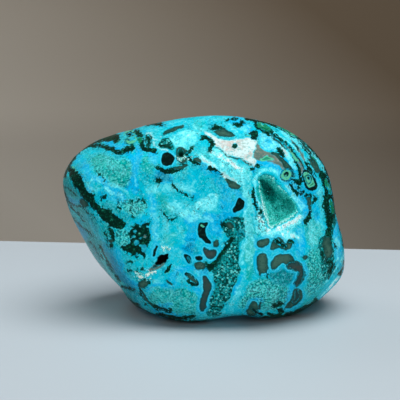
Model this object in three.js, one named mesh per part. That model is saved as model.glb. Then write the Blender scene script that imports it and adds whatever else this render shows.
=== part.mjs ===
// Chrysocolla specimen: one free-form tumbled and polished stone, a single natural solid.
// Millimetres, +Z up. The stone rests on its own flat foot, the foot plane is z = 0 and
// the origin is the middle of the stone's box at that plane. +X runs along the length,
// from the pointed nose (-X) to the blunt end (+X); the broad display face looks to -Y.
//
// The body is a star-shaped solid: every point of its skin is one radius along a direction
// from the stone's heart. That radius blends
//   - a girth outline, the widest section, in a plane that leans back by GIRTH_LEAN, and
//   - a set of broad polished faces, each a plane at its own distance from the heart,
// with a soft round between neighbours. A shallow four-sided pocket, the mouth of the
// crystal-lined vug, is sunk into the display face near the blunt end.

import * as THREE from 'three';
import { mergeVertices } from 'three/addons/utils/BufferGeometryUtils.js';

// ---- driving dimensions -------------------------------------------------------------
const HEART_HEIGHT = 32;              // heart of the stone above the foot plane
const GIRTH_LEAN = 10 * Math.PI / 180; // lean of the girth plane, top away from the display face
const REACH_FRONT = 33;               // body radius square to the girth plane, display side
const REACH_BACK = 31;                // the same, back side
const BODY_ROUND = 2.9;               // exponent of the body section: 2 is an ellipse
const FACE_ROUND = 18;                // exponent of the blend between faces: higher is crisper
const BOX_SHIFT = [-0.48, 1.00];      // moves the middle of the box onto the origin
const SKIN_DETAIL = 15;               // subdivision of the icosahedral skin

// girth radii every 10 degrees, from +X up over the top
const GIRTH = [
  47.65, 46.88, 46.70, 45.37, 43.45, 41.36, 39.38, 37.72, 36.48, 35.75, 35.63, 36.18,
  38.14, 41.23, 46.76, 54.40, 52.22, 51.74, 51.13, 47.83, 46.38, 41.89, 39.53, 40.86,
  39.07, 38.72, 41.62, 37.13, 34.70, 35.28, 40.88, 48.04, 49.09, 51.12, 53.82, 51.66,
];

// polished faces: outward direction (made unit below) and distance from the heart
const FACES = [
  ['front', -0.05, -0.985, 0.16, 29.50],
  ['nose_low', -0.82, -0.40, -0.41, 38.25],
  ['nose_under', -0.80, -0.20, -0.56, 40.35],
  ['shoulder', 0.00, -0.60, 0.80, 35.80],
  ['pocket_side', 0.64, -0.74, 0.22, 38.16],
  ['blunt_end', 0.95, -0.28, 0.12, 48.23],
  ['blunt_low', 0.45, -0.66, -0.60, 42.98],
  ['front_low', -0.10, -0.62, -0.78, 40.14],
  ['nose_front_low', -0.52, -0.55, -0.65, 40.75],
  ['crown', 0.05, 0.35, 0.93, 36.49],
  ['crown_nose', -0.45, -0.25, 0.86, 39.55],
  ['back', 0.10, 0.98, 0.10, 29.50],
  ['back_blunt', 0.72, 0.66, 0.22, 39.43],
  ['back_nose', -0.66, 0.74, 0.12, 37.08],
  ['back_low', -0.20, 0.65, -0.72, 37.00],
  ['back_crown', 0.25, 0.72, 0.65, 38.00],
  ['foot', 0, 0, -1, 33.30],
];

// vug pocket: four mouth corners on the skin, from the heart, and its depth
const POCKET_MOUTH = [
  [16.5, -26.1, 19.8],
  [22.1, -24.0, 21.2],
  [33.7, -20.8, 5.2],
  [20.0, -30.0, -0.4],
];
const POCKET_DEPTH = 3.6;
const POCKET_WALL = 0.55;             // part of the mouth width where the wall ends

// ---- skin radius --------------------------------------------------------------------
const cosL = Math.cos(GIRTH_LEAN), sinL = Math.sin(GIRTH_LEAN);
const TO_FRONT = new THREE.Vector3(0, -cosL, sinL);  // square to the girth plane
const TO_RIGHT = new THREE.Vector3(1, 0, 0);
const TO_TOP = new THREE.Vector3(0, sinL, cosL);

const faces = FACES.map(([, x, y, z, d]) => ({ n: new THREE.Vector3(x, y, z).normalize(), d }));

// a closed Catmull-Rom through values spaced evenly round a circle
function around(values, angle) {
  const n = values.length;
  const t = ((angle / (2 * Math.PI)) % 1 + 1) % 1 * n;
  const i = Math.floor(t), f = t - i;
  const a = values[(i + n - 1) % n], b = values[i % n], c = values[(i + 1) % n], d = values[(i + 2) % n];
  return b + 0.5 * f * (c - a + f * (2 * a - 5 * b + 4 * c - d + f * (3 * (b - c) + d - a)));
}

const softGirth = GIRTH.map((_, i) => {
  const w = [1, 2, 3, 4, 3, 2, 1], n = GIRTH.length;
  return w.reduce((s, k, j) => s + k * GIRTH[(i - (j - 3) + n) % n], 0) / 16;
});

function skinRadius(u) {
  const a = u.dot(TO_FRONT), r1 = u.dot(TO_RIGHT), r2 = u.dot(TO_TOP);
  const s = Math.hypot(r1, r2), angle = Math.atan2(r2, r1);
  const soft = around(softGirth, angle), crisp = around(GIRTH, angle);
  const girth = soft + (crisp - soft) * s ** 5;
  const body = (Math.max(a, 0) / REACH_FRONT) ** BODY_ROUND
    + (Math.max(-a, 0) / REACH_BACK) ** BODY_ROUND
    + (s / girth) ** BODY_ROUND;
  let sum = body ** (FACE_ROUND / BODY_ROUND);
  for (const { n, d } of faces) sum += (Math.max(0, u.dot(n)) / d) ** FACE_ROUND;
  return sum ** (-1 / FACE_ROUND);
}

// ---- vug pocket ---------------------------------------------------------------------
const corners = POCKET_MOUTH.map((c) => new THREE.Vector3(...c));
const pocketCentre = corners.reduce((s, c) => s.add(c), new THREE.Vector3()).divideScalar(4);
const pocketOut = new THREE.Vector3()
  .crossVectors(corners[2].clone().sub(corners[0]), corners[1].clone().sub(corners[3])).normalize();
if (pocketOut.dot(pocketCentre) < 0) pocketOut.negate();
const pocketWalls = corners.map((c, i) => {
  const along = corners[(i + 1) % 4].clone().sub(c);
  const n = new THREE.Vector3().crossVectors(along, pocketOut).normalize();
  if (n.dot(c.clone().sub(pocketCentre)) < 0) n.negate();
  return { n, d: n.dot(c.clone().sub(pocketCentre)) };
});

function pocketDepth(point) {
  const q = point.clone().sub(pocketCentre);
  if (q.dot(pocketOut) < -8) return 0;
  let sum = 0;
  for (const { n, d } of pocketWalls) sum += Math.max(0, q.dot(n) / d) ** 6;
  const g = sum ** (1 / 6);
  return POCKET_DEPTH * (1 - THREE.MathUtils.smoothstep(g, POCKET_WALL, 1));
}

// ---- the stone ----------------------------------------------------------------------
function stoneGeometry() {
  let geometry = new THREE.IcosahedronGeometry(1, SKIN_DETAIL);
  geometry.deleteAttribute('normal');
  geometry.deleteAttribute('uv');
  geometry = mergeVertices(geometry, 1e-5);
  const position = geometry.getAttribute('position');
  const u = new THREE.Vector3(), p = new THREE.Vector3();
  for (let i = 0; i < position.count; i++) {
    u.fromBufferAttribute(position, i).normalize();
    p.copy(u).multiplyScalar(skinRadius(u));
    const depth = pocketDepth(p);
    if (depth > 0) p.addScaledVector(pocketOut, -depth);
    position.setXYZ(i, p.x + BOX_SHIFT[0], p.y + BOX_SHIFT[1], Math.max(p.z + HEART_HEIGHT, 0));
  }
  geometry.computeVertexNormals();
  geometry.computeBoundingBox();
  return geometry;
}

const specimen = new THREE.Group();
specimen.name = 'chrysocolla_specimen';

const stone = new THREE.Mesh(
  stoneGeometry(),
  new THREE.MeshStandardMaterial({ color: 0x1ea5bd, roughness: 0.25, metalness: 0 }),
);
stone.name = 'stone';
specimen.add(stone);

export default specimen;
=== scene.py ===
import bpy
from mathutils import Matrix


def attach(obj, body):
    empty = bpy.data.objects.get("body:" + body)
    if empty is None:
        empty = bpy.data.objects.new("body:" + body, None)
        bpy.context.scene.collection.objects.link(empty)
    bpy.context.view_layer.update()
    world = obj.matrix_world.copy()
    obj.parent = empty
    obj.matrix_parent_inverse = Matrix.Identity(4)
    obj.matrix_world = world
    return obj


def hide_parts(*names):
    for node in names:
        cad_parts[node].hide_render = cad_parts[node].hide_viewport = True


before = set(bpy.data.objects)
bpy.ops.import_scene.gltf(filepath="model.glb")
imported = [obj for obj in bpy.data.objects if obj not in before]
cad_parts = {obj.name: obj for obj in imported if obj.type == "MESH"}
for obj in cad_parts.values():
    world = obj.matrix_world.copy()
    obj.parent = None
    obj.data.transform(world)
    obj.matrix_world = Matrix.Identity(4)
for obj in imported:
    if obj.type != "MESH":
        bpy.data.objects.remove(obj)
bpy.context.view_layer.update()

import math
import bpy
import numpy as np

# =====================================================================================
# Chrysocolla specimen. Lengths below are millimetres round the stone's heart; the mesh
# is written in metres in the part's own frame.
# =====================================================================================
HEART_HEIGHT = 32.0
BOX_SHIFT = np.array([-0.48, 1.00])
LEAN = math.radians(10.0)
REACH_FRONT, REACH_BACK = 33.0, 31.0
BODY_ROUND, FACE_ROUND = 2.9, 18.0
GIRTH = np.array([
    47.65, 46.88, 46.70, 45.37, 43.45, 41.36, 39.38, 37.72, 36.48, 35.75, 35.63, 36.18,
    38.14, 41.23, 46.76, 54.40, 52.22, 51.74, 51.13, 47.83, 46.38, 41.89, 39.53, 40.86,
    39.07, 38.72, 41.62, 37.13, 34.70, 35.28, 40.88, 48.04, 49.09, 51.12, 53.82, 51.66])
FACES = np.array([
    [-0.05, -0.985, 0.16, 29.50], [-0.82, -0.40, -0.41, 38.25], [-0.80, -0.20, -0.56, 40.35],
    [0.00, -0.60, 0.80, 35.80], [0.64, -0.74, 0.22, 38.16], [0.95, -0.28, 0.12, 48.23],
    [0.45, -0.66, -0.60, 42.98], [-0.10, -0.62, -0.78, 40.14], [-0.52, -0.55, -0.65, 40.75],
    [0.05, 0.35, 0.93, 36.49], [-0.45, -0.25, 0.86, 39.55], [0.10, 0.98, 0.10, 29.50],
    [0.72, 0.66, 0.22, 39.43], [-0.66, 0.74, 0.12, 37.08], [-0.20, 0.65, -0.72, 37.00],
    [0.25, 0.72, 0.65, 38.00], [0.0, 0.0, -1.0, 33.30]])
FACE_N = FACES[:, :3] / np.linalg.norm(FACES[:, :3], axis=1, keepdims=True)
FACE_D = FACES[:, 3]
TO_FRONT = np.array([0, -math.cos(LEAN), math.sin(LEAN)])
TO_RIGHT = np.array([1.0, 0, 0])
TO_TOP = np.array([0, math.sin(LEAN), math.cos(LEAN)])

# the eye that the face drawing is laid out from, and the camera stands at
PITCH = math.radians(9.0)
EYE_LOOK = np.array([0, math.cos(PITCH), -math.sin(PITCH)])
EYE_UP = np.array([0, math.sin(PITCH), math.cos(PITCH)])
UNIT = 0.351                                   # mm to one drawing unit at the heart
EYE = -351.0 * EYE_LOOK - TO_RIGHT * 3.5 * UNIT + EYE_UP * 18.5 * UNIT


def around(values, angle):
    n = len(values)
    t = (angle / (2 * math.pi)) % 1.0 * n
    i = np.floor(t).astype(int)
    f = t - i
    a, b, c, d = values[(i - 1) % n], values[i % n], values[(i + 1) % n], values[(i + 2) % n]
    return b + 0.5 * f * (c - a + f * (2 * a - 5 * b + 4 * c - d + f * (3 * (b - c) + d - a)))


SOFT_GIRTH = sum(k * np.roll(GIRTH, j - 3) for j, k in enumerate([1, 2, 3, 4, 3, 2, 1])) / 16.0


def skin_radius(u):
    a, r1, r2 = u @ TO_FRONT, u @ TO_RIGHT, u @ TO_TOP
    s = np.hypot(r1, r2)
    angle = np.arctan2(r2, r1)
    soft, crisp = around(SOFT_GIRTH, angle), around(GIRTH, angle)
    girth = soft + (crisp - soft) * s ** 5
    body = ((np.maximum(a, 0) / REACH_FRONT) ** BODY_ROUND
            + (np.maximum(-a, 0) / REACH_BACK) ** BODY_ROUND + (s / girth) ** BODY_ROUND)
    total = body ** (FACE_ROUND / BODY_ROUND)
    total = total + (np.maximum(0, u @ FACE_N.T) ** FACE_ROUND) @ (FACE_D ** -FACE_ROUND)
    return total ** (-1 / FACE_ROUND)


def to_drawing(p):
    q = p - EYE
    d = q @ EYE_LOOK
    return 200 + 1000 * (q @ TO_RIGHT) / d, 200 - 1000 * (q @ EYE_UP) / d


# ---- seeded noise ---------------------------------------------------------------------
def _hash(i, j, k, seed):
    h = (i * 374761393 + j * 668265263 + k * 2246822519 + seed * 3266489917) & 0xFFFFFFFF
    h = ((h ^ (h >> 13)) * 1274126177) & 0xFFFFFFFF
    h = ((h ^ (h >> 15)) * 2246822519) & 0xFFFFFFFF
    return ((h ^ (h >> 16)) & 0xFFFFFF).astype(float) / 0x7FFFFF - 1.0


def _tilt():
    x, y, z = np.array([1.0, 2.0, 3.0]) / 14 ** .5
    k = np.array([[0, -z, y], [z, 0, -x], [-y, x, 0]])
    return np.eye(3) + math.sin(.7) * k + (1 - math.cos(.7)) * k @ k


TILT = _tilt()


def noise(p, size, seed):
    """smooth value noise in -1..1 with the given cell size; its lattice is tilted and
    shifted so that no two sizes share a plane"""
    q = p @ TILT / size + 1000.0 + (seed * .37 + np.array([0, .31, .62])) % 1.0
    c = np.floor(q).astype(np.int64)
    f = q - c
    f = f * f * f * (f * (f * 6 - 15) + 10)
    out = 0.0
    for dx in (0, 1):
        wx = f[:, 0] if dx else 1 - f[:, 0]
        for dy in (0, 1):
            wy = f[:, 1] if dy else 1 - f[:, 1]
            for dz in (0, 1):
                wz = f[:, 2] if dz else 1 - f[:, 2]
                out = out + _hash(c[:, 0] + dx, c[:, 1] + dy, c[:, 2] + dz, seed) * wx * wy * wz
    return out


def cloud(p, size, seed, octaves=3):
    return sum(noise(p, size / 2 ** o, seed + 17 * o) * 0.5 ** o for o in range(octaves)) / 1.5


def smooth(x, lo, hi):
    t = np.clip((x - lo) / (hi - lo), 0, 1)
    return t * t * (3 - 2 * t)

# ---- markings, drawn -----------------------------------------------------------------
# Drawing units: one unit is 0.351 mm at the stone's heart, x to the right, y down.
# Soft strokes first (value fields), then hard mineral bodies in painting order.
# soft: (field, value, softness, shape...)   hard: (mineral, shape...)
SOFT = [
 # hue: -1 azure, 0 cyan, 1 teal;  lum: -1 deep, 0 mid, 1 pale
 # -- upper left
 ('hue',-.55,10,'line',[(78,158,5),(84,172,6),(98,183,7),(110,193,8),(120,198,6)]),
 ('hue',-.2,8,'line',[(92,150,2),(104,151,2),(118,156,3),(128,154,3)]),
 ('hue',-1,4,'line',[(137,147,3.5),(137,155,4.8),(136,162,4.8),(134,170,3.6),(134,178,3.4),(136,186,3.8),(136,192,4)]),
 ('lum',.12,4,'line',[(137,147,2),(136,155,2.6),(135,162,2.4)]),
 ('hue',-1,4,'poly',[(103,142),(107,140),(112,141),(115,144),(120,143),(124,141),(125,145),(121,148),(116,150),(111,148),(106,145)]),
 ('lum',.12,4,'poly',[(103,142),(107,140),(112,141),(115,144),(120,143),(124,141),(125,145),(121,148),(116,150),(111,148),(106,145)]),
 ('hue',.75,7,'oval',(148,163,7,11,0)),
 ('lum',-.25,8,'oval',(150,178,9,6,0)),
 ('hue',-.8,8,'oval',(153,158,5,7,0)),
 ('lum',-.55,8,'oval',(163,176,9,6,20)),
 ('hue',-1,9,'oval',(163,176,10,7,20)),
 ('lum',-.35,8,'line',[(107,205,5),(116,212,5),(124,220,5),(134,214,4)]),
 ('hue',.35,9,'line',[(105,204,5),(114,212,5),(122,218,4)]),
 ('lum',.55,4,'line',[(93,179,1.5),(104,178,2.5),(112,183,2.5),(120,188,2.5),(127,192,2)]),
 ('hue',.4,5,'oval',(97,186,6,4,20)),
 ('lum',.3,4,'line',[(85,192,1),(89,194,1.5),(92,192,1)]),
 ('hue',-.9,5,'oval',(88,189,4,4,0)),
 ('lum',-.3,7,'oval',(81,186,3,9,-20)),
 # -- top strip
 ('lum',.35,8,'line',[(146,129,2),(160,128,3),(178,124,2),(200,120,3),(225,118,3),(243,120,3)]),
 ('hue',-.25,8,'line',[(150,129,3),(170,125,3),(200,122,4),(230,121,4)]),
 ('hue',.5,7,'line',[(196,121,3),(205,124,3),(196,127,2)]),
 ('lum',.75,8,'poly',[(167,137),(176,134),(184,130),(193,132),(196,138),(192,146),(184,148),(176,146),(170,142)]),
 ('lum',.9,6,'line',[(181,135,3),(188,132,3),(194,137,3)]),
 ('lum',.6,7,'line',[(196,128,3),(206,128,3),(199,134,3)]),
 ('hue',.4,7,'line',[(187,142,4),(194,150,5),(202,150,5),(206,157,4)]),
 ('lum',.45,7,'line',[(187,146,4),(196,152,5),(204,152,5)]),
 ('lum',.5,6,'line',[(228,126,3),(238,130,4),(249,127,4)]),
 ('hue',-.7,6,'line',[(232,121,3),(246,124,4),(252,130,3)]),
 # -- middle
 ('lum',.55,10,'line',[(150,191,5),(163,188,6),(180,186,5),(192,190,5)]),
 ('hue',.15,10,'line',[(165,192,7),(180,196,8),(190,206,8)]),
 ('hue',.7,7,'line',[(159,197,5),(165,206,5),(170,212,4)]),
 ('lum',.65,9,'line',[(172,205,6),(184,212,8),(198,214,7),(205,208,5)]),
 ('hue',-.6,6,'line',[(151,196,3),(153,208,4),(153,222,4),(153,236,4),(156,244,3)]),
 ('lum',.45,6,'line',[(152,198,2),(154,212,3),(154,228,4),(156,240,3)]),
 ('lum',.5,8,'line',[(163,215,4),(168,226,5),(166,240,5),(168,250,4)]),
 ('hue',.7,6,'poly',[(160,233),(168,232),(176,230),(178,238),(174,246),(164,246)]),
 ('lum',.5,6,'poly',[(162,235),(168,233),(176,232),(176,240),(172,245),(165,245)]),
 ('hue',-.8,8,'line',[(187,218,4),(194,228,5),(190,240,6),(186,252,6)]),
 ('lum',-.45,8,'line',[(184,246,5),(192,250,6),(200,256,6),(194,266,5)]),
 ('lum',.25,6,'line',[(178,226,3),(184,234,3),(181,244,3)]),
 ('hue',-.75,9,'line',[(205,166,5),(212,172,6),(222,182,6),(226,192,6)]),
 ('lum',-.25,8,'line',[(196,166,5),(204,172,5),(200,188,5)]),
 ('hue',-.9,6,'line',[(228,188,3),(238,191,3),(244,198,2),(246,210,2)]),
 ('hue',-.8,8,'oval',(228,206,8,10,0)),
 ('lum',.85,4,'poly',[(195,206),(200,201),(206,199),(213,193),(219,194),(220,201),(214,208),(206,213),(199,218),(190,222)]),
 ('lum',.6,8,'line',[(193,215,6),(202,214,7),(210,218,5)]),
 ('hue',-.9,6,'line',[(208,217,4),(218,216,5),(229,216,5)]),
 ('hue',-.6,6,'oval',(196,196,6,5,-30)),
 ('lum',-.3,5,'line',[(236,218,2),(240,214,2),(244,208,1.5)]),
 # -- upper right, between quartz and vug
 ('lum',1.5,5,'line',[(199,158.4,2.2),(206,162,2.4),(213,166,2.2),(220,171,2.6),(227,177,2.6),(235,182,2),(241,185,1.4)]),
 ('lum',.75,8,'poly',[(209,150),(216,148),(224,154),(232,159),(244,162),(248,170),(247,182),(243,188),(236,184),(228,176),(220,168),(211,160)]),
 ('hue',.35,8,'poly',[(209,150),(216,148),(224,154),(232,159),(238,164),(226,168),(218,164),(211,158)]),
 ('lum',1.6,5,'line',[(229,162,2),(236,166,3),(243,171,3),(246,176,1.6)]),
 ('lum',1.3,5,'line',[(214,152,2),(221,156,2.4),(226,161,2)]),
 ('lum',.6,6,'poly',[(258,132),(264,132),(272,135),(277,140),(279,146),(278,151),(274,152),(268,151),(263,148),(260,143),(258,138)]),
 ('hue',-.8,6,'poly',[(258,132),(264,132),(272,135),(277,140),(279,146),(278,151),(274,152),(268,151),(263,148),(260,143),(258,138)]),
 ('lum',0,3,'oval',(266,142,2.2,2,0)),
 ('lum',.75,4,'line',[(283,133,2),(292,138,2.5),(300,144,2.5),(306,150,2.5),(311,156,2.5)]),
 ('lum',.8,3,'line',[(281,146,1),(285,152,2),(288,158,2),(292,163,2.4),(295,170,2)]),
 ('hue',-.6,4,'line',[(282,158,2.5),(286,163,3),(292,168,2.5),(296,174,2.5),(299,178,2)]),
 ('lum',.55,4,'line',[(302,158,1.5),(306,164,1.5),(311,171,2),(316,178,2.5),(319,186,3)]),
 ('hue',-.2,5,'line',[(307,146,2),(314,153,2),(320,162,2),(324,170,1.5)]),
 ('lum',.5,3,'line',[(305,144,1.2),(313,152,1.4),(319,160,1.2),(325,171,1.2)]),
 # -- vertical vein
 ('lum',.6,5,'line',[(248,168,3.5),(247,180,4),(247,192,4),(247,206,4),(248,220,4),(251,232,4.5)]),
 ('hue',.25,5,'line',[(248,168,3.5),(247,180,4),(247,192,4),(248,206,4),(249,220,4),(251,232,5)]),
 ('hue',.85,4,'line',[(252,232,4.5),(252,242,5),(251,254,5.4),(250,266,5),(249,276,4)]),
 ('lum',.55,4,'line',[(251,236,3.5),(251,246,4),(250,258,4),(249,268,4)]),
 ('lum',.6,3.5,'line',[(244,242,1),(243,254,1.4),(243,266,1.6),(244,274,2.2),(240,284,2.4),(236,293,2.4),(232,302,2.2),(230,309,1.8)]),
 ('lum',.5,3,'line',[(249,196,1),(248,212,1.2),(249,228,1.2)]),
 ('hue',-.9,3,'line',[(240,277,1),(236,285,1.8),(233,292,1.5)]),
 # -- right of the vug
 ('hue',-.85,6,'line',[(304,190,2),(310,192,2),(315,194,2.4)]),
 ('lum',-.2,5,'line',[(305,191,2),(312,195,2)]),
 ('hue',-.55,6,'line',[(315,202,3),(317,212,4),(316,222,4)]),
 ('lum',.35,6,'line',[(320,190,2.6),(321,204,2.6),(321,216,3),(319,226,4),(317,236,4)]),
 ('hue',-1,5,'line',[(250,174,1.6),(252,168,2.4),(258,164,3),(266,161.5,3),(273,163,3.2),(280,170,3.6),(287,181,3.6),(295,192,3.6),(303,202,3.4),(308,212,2.6)]),
 ('lum',.25,4,'line',[(270,162,1.5),(280,171,2),(287,181,2.4),(295,192,2.4),(303,202,2.2),(308,212,1.6)]),
 ('lum',.62,3.2,'line',[(254,184,1.6),(255,178,2),(258,171.5,2),(266,168.5,2),(274,169,2.2),(281,179,2.6),(288,188,2.6),(296,198,2.6),(303,207,2.2)]),
 ('lum',.8,4,'poly',[(257,214),(262,217),(266,226),(270,230),(277,229),(286,225),(294,220),(301,214),(306,216),(303,222),(296,227),(289,232),(297,234),(300,237),(292,239),(286,242),(279,241),(272,238),(263,238),(258,232),(257,224)]),
 ('hue',-.75,6,'poly',[(295,228),(304,227),(307,233),(306,245),(304,257),(298,259),(295,248),(292,240)]),
 ('lum',.3,5,'poly',[(296,229),(303,228),(306,234),(304,246),(302,254),(298,250),(295,240)]),
 ('hue',.7,6,'poly',[(306,222),(313,219),(320,222),(321,232),(320,244),(314,248),(308,246),(306,236)]),
 ('lum',.6,6,'line',[(310,224,3),(313,234,4),(313,244,3)]),
 ('hue',-.7,5,'line',[(334,224,2.4),(337,230,3),(336,238,2)]),
 # -- lower right
 ('hue',.8,8,'poly',[(306,252),(318,246),(324,256),(330,266),(326,278),(320,290),(312,298),(304,294),(306,280),(308,266)]),
 ('hue',1,6,'poly',[(272,271),(282,267),(292,271),(298,275),(294,283),(286,286),(278,284),(272,278)]),
 ('lum',-.6,6,'poly',[(271,270),(283,265),(294,270),(297,277),(290,287),(278,287),(271,279)]),
 ('hue',.8,8,'poly',[(246,284),(262,278),(278,284),(290,290),(290,302),(278,309),(264,310),(250,312),(238,308)]),
 ('lum',.4,7,'line',[(270,308,2),(277,300,3),(275,290,3),(262,288,3),(250,290,3)]),
 ('hue',-.85,4,'line',[(298,271,1.2),(294,280,1.8),(290,290,2),(288,299,1.8)]),
 ('hue',-1,3,'line',[(250,301,1.6),(255,298,2),(260,298,2),(264,302,1.4)]),
 ('lum',.3,3,'line',[(251,300,1),(256,298,1.2),(261,299,1)]),
 ('hue',-.8,5,'line',[(300,262,1.4),(306,267,1.6),(308,276,1.4)]),
 ('lum',.3,4,'line',[(270,262,1.2),(272,256,1.6),(279,251,1.8),(287,250,1.8),(294,253,1.8),(300,259,1.4)]),
 ('hue',-.7,5,'line',[(257,249,2),(263,250,2),(268,246,2),(269,254,1.8),(269.5,264,1.6),(268,271,1.4)]),
 ('hue',-.8,4,'line',[(272,238,1.6),(270,246,2),(266,250,2)]),
 ('hue',.9,7,'poly',[(300,290),(312,292),(322,290),(314,302),(304,309),(292,312),(300,302)]),
 ('lum',-.2,7,'poly',[(306,296),(320,292),(312,304),(302,309)]),
 ('hue',-.3,5,'line',[(333,250,2),(337,256,2),(335,262,2)]),
 ('lum',.3,4,'line',[(332,248,1),(338,254,1.5),(334,262,1.5)]),
 # -- lower middle
 ('hue',-.95,6,'oval',(215,227,9.5,10,0)),
 ('lum',.22,5,'oval',(216,229,5,6,0)),
 ('hue',-.9,5,'line',[(197,216,3),(197,230,2),(193,238,3)]),
 ('hue',-.8,5,'line',[(205,240,2),(212,246,2),(201,252,2)]),
 ('hue',-.9,5,'line',[(206,268,2),(199,276,3),(198,286,3.6),(197,297,3.6),(195,306,3)]),
 ('lum',.2,4,'line',[(205,269,1.5),(201,275,2),(200,286,2),(198,298,2)]),
 ('lum',.5,3,'line',[(180,269,1),(190,268,1.8),(198,273,2),(202,281,1.6),(203,289,1)]),
 ('hue',-.7,5,'line',[(176,284,2),(172,276,3),(178,270,3),(186,268,2)]),
 ('lum',.3,5,'line',[(176,250,3),(178,260,3),(176,270,3)]),
 ('hue',.8,7,'poly',[(150,292),(156,287),(165,289),(175,290),(185,289),(195,291),(201,296),(201,303),(197,310),(188,313),(177,312),(165,309),(156,306),(150,302)]),
 ('lum',.3,6,'line',[(156,294,3),(166,300,3),(180,298,3),(190,304,3)]),
 ('hue',-.6,5,'line',[(148,290,1.6),(156,284,2),(166,285,2),(178,286,1.8),(192,288,2),(204,292,1.6)]),
 ('hue',-.6,4,'line',[(152,310,1.6),(160,312,1.8),(170,313,1.6),(180,316,1.6)]),
 # painted shade: darker along the bottom edge
 ('lum',-.3,6,'line',[(150,308,2),(166,312,2),(185,317,2),(200,320,2)]),
 # -- lower left
 ('hue',-.75,9,'line',[(112,252,5),(118,260,6),(118,272,5),(126,282,4),(136,286,4)]),
 ('lum',-.5,9,'line',[(106,250,4),(112,262,5),(120,276,5),(130,290,5),(140,302,5)]),
 ('hue',.3,8,'line',[(126,258,5),(136,262,6),(146,264,5)]),
 ('lum',.12,8,'line',[(126,262,4),(138,264,5),(146,262,4)]),
 ('hue',.6,7,'poly',[(115,230),(120,228),(127,229),(131,233),(131,242),(128,246),(121,248),(116,244)]),
 ('hue',.6,6,'poly',[(100,226),(106,224),(110,229),(110,236),(107,240),(102,235)]),
 ('lum',-.35,5,'line',[(100,244,3),(106,246,4),(112,248,3)]),
 ('hue',-.6,6,'line',[(140,220,3),(148,220,3),(134,222,3)]),
 ('lum',-.3,8,'line',[(142,290,4),(150,298,3),(142,300,3)]),
 # -- left face, dull grey teal, and darker: painted shade on the side turned from the light
 ('hue',.6,6,'poly',[(60,176),(66,176),(72,184),(78,192),(86,204),(94,216),(100,228),(101,244),(108,262),(120,282),(136,304),(126,300),(104,276),(88,252),(74,228),(64,204)]),
 ('lum',-.38,6,'poly',[(60,176),(66,176),(72,184),(78,192),(86,204),(94,216),(100,228),(101,244),(108,262),(120,282),(136,304),(126,300),(104,276),(88,252),(74,228),(64,204)]),
 ('hue',-.9,5,'poly',[(73,222),(78,221),(82,227),(86,233),(88,239),(83,240),(77,232)]),
 ('hue',-.9,6,'line',[(70,198,2),(75,202,3),(80,199,2)]),
 ('hue',-.5,6,'line',[(64,196,2),(66,206,2),(68,214,2)]),
 # vug rim, in full
 ('hue',-1,4,'line',[(256,165,2.4),(264,162.6,2.6),(273,163.6,3),(281,170,3),(289,180,3.2),(297,191,3.2),(304,200,3.2),(307,211,3),(304,222,2.4)]),
 ('lum',.72,2.6,'line',[(255,186,.9),(255.6,177,1.3),(259.6,171.6,1.5),(266,169.4,1.5),(273.6,169,1.7),(280,177,1.7),(287.6,187.4,1.7),(295.6,199,1.8),(301.4,209,2)]),
 ('lum',1.45,3,'line',[(258,210,1.2),(260.6,219,2.2),(264,227,2.6),(270,231.4,2.4),(278,230.6,2.3),(287,227,2.2),(296,222,2.4),(302,217,2)]),
 ('lum',1.9,2.6,'line',[(276,229.4,1),(284,226,1.4),(292,221.6,1.6),(299,216.6,1.2)]),
 ('lum',1.0,4,'line',[(257,190,.8),(259,200,1.2),(261,209,1.6)]),
 ('lum',1.3,4,'line',[(284,234,2.2),(291,237,2.4),(297,238,1.6)]),
 # pale sliver at the lower left edge: a painted reflection of the floor in the polish
 ('hue',.6,4,'poly',[(99,246),(103,254),(108,264),(114,273),(122,285),(134,302),(127,297),(114,283),(104,270),(97,256)]),
 ('lum',.75,4,'poly',[(100,248),(104,257),(109,266),(115,275),(123,287),(131,298),(122,291),(110,277),(103,266),(98,256)]),
 # azure rings round the low centre
 ('hue',-1,3,'line',[(179,272,1.4),(184,268,1.8),(191,268,2),(198,271,2),(202,277,2),(202,284,1.8),(197,290,1.6)]),
 ('lum',.35,2.6,'line',[(181,271,.8),(187,268,1),(194,268.6,1.1),(200,273,1.1),(202.4,280,1),(199,288,.8)]),
 ('hue',-1,3,'line',[(154,309,1.4),(160,312.4,1.8),(168,314,1.8),(176,313.6,1.4)]),
 ('lum',.45,2.6,'line',[(155,308.6,.8),(161,312,1),(169,313.6,1),(177,313,.7)]),
 ('hue',-1,3,'line',[(157,305,1),(164,304.6,1.4),(172,306,1.2)]),
 # the pale curls of the upper left
 ('hue',-.8,4,'line',[(84,160,2),(86,168,3),(92,174,3.4),(99,179,3),(106,184,3),(113,189,3),(120,195,3),(124,200,2)]),
 ('lum',.55,3,'line',[(82,176,1),(85,182,1.6),(88,188,1.8),(93,190,1.6),(99,188,1.4)]),
 ('lum',.7,3,'line',[(97,181,1.2),(103,184,1.8),(109,188,1.8),(115,193,1.6),(122,197,1.4)]),
 ('lum',.6,3,'line',[(84,188,.8),(87,193,1.4),(91,193,1)]),
 ('hue',-1,3,'line',[(127,152,1.6),(131,158,2),(133,166,2.4),(132,175,2.4),(131,184,2.2),(129,190,1.8)]),
 ('lum',.25,2.6,'line',[(138,148,1),(140,154,1.4),(138,160,1.3),(135,166,1.1),(134,176,1),(136,186,1)]),
 ('hue',-1,3,'line',[(152,152,1.8),(149,156,2),(146,154,1.6)]),
 ('lum',.35,4,'line',[(106,160,4),(114,166,5),(122,172,5)]),
 ('hue',1,5,'poly',[(90,156),(103,155),(114,159),(124,158),(130,164),(130,184),(124,188),(112,182),(100,174),(92,165)]),
 ('hue',.8,5,'poly',[(118,203),(130,201),(145,201),(147,206),(142,212),(134,217),(126,211)]),
 ('lum',.45,5,'poly',[(120,204),(130,202),(144,202),(146,206),(140,211),(134,214),(128,210)]),
 # the vertical vein, crisp sides
 ('hue',.5,3,'line',[(248,172,3),(247.4,190,3.2),(248,208,3.4),(250,224,3.6),(252,236,3.6)]),
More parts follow.
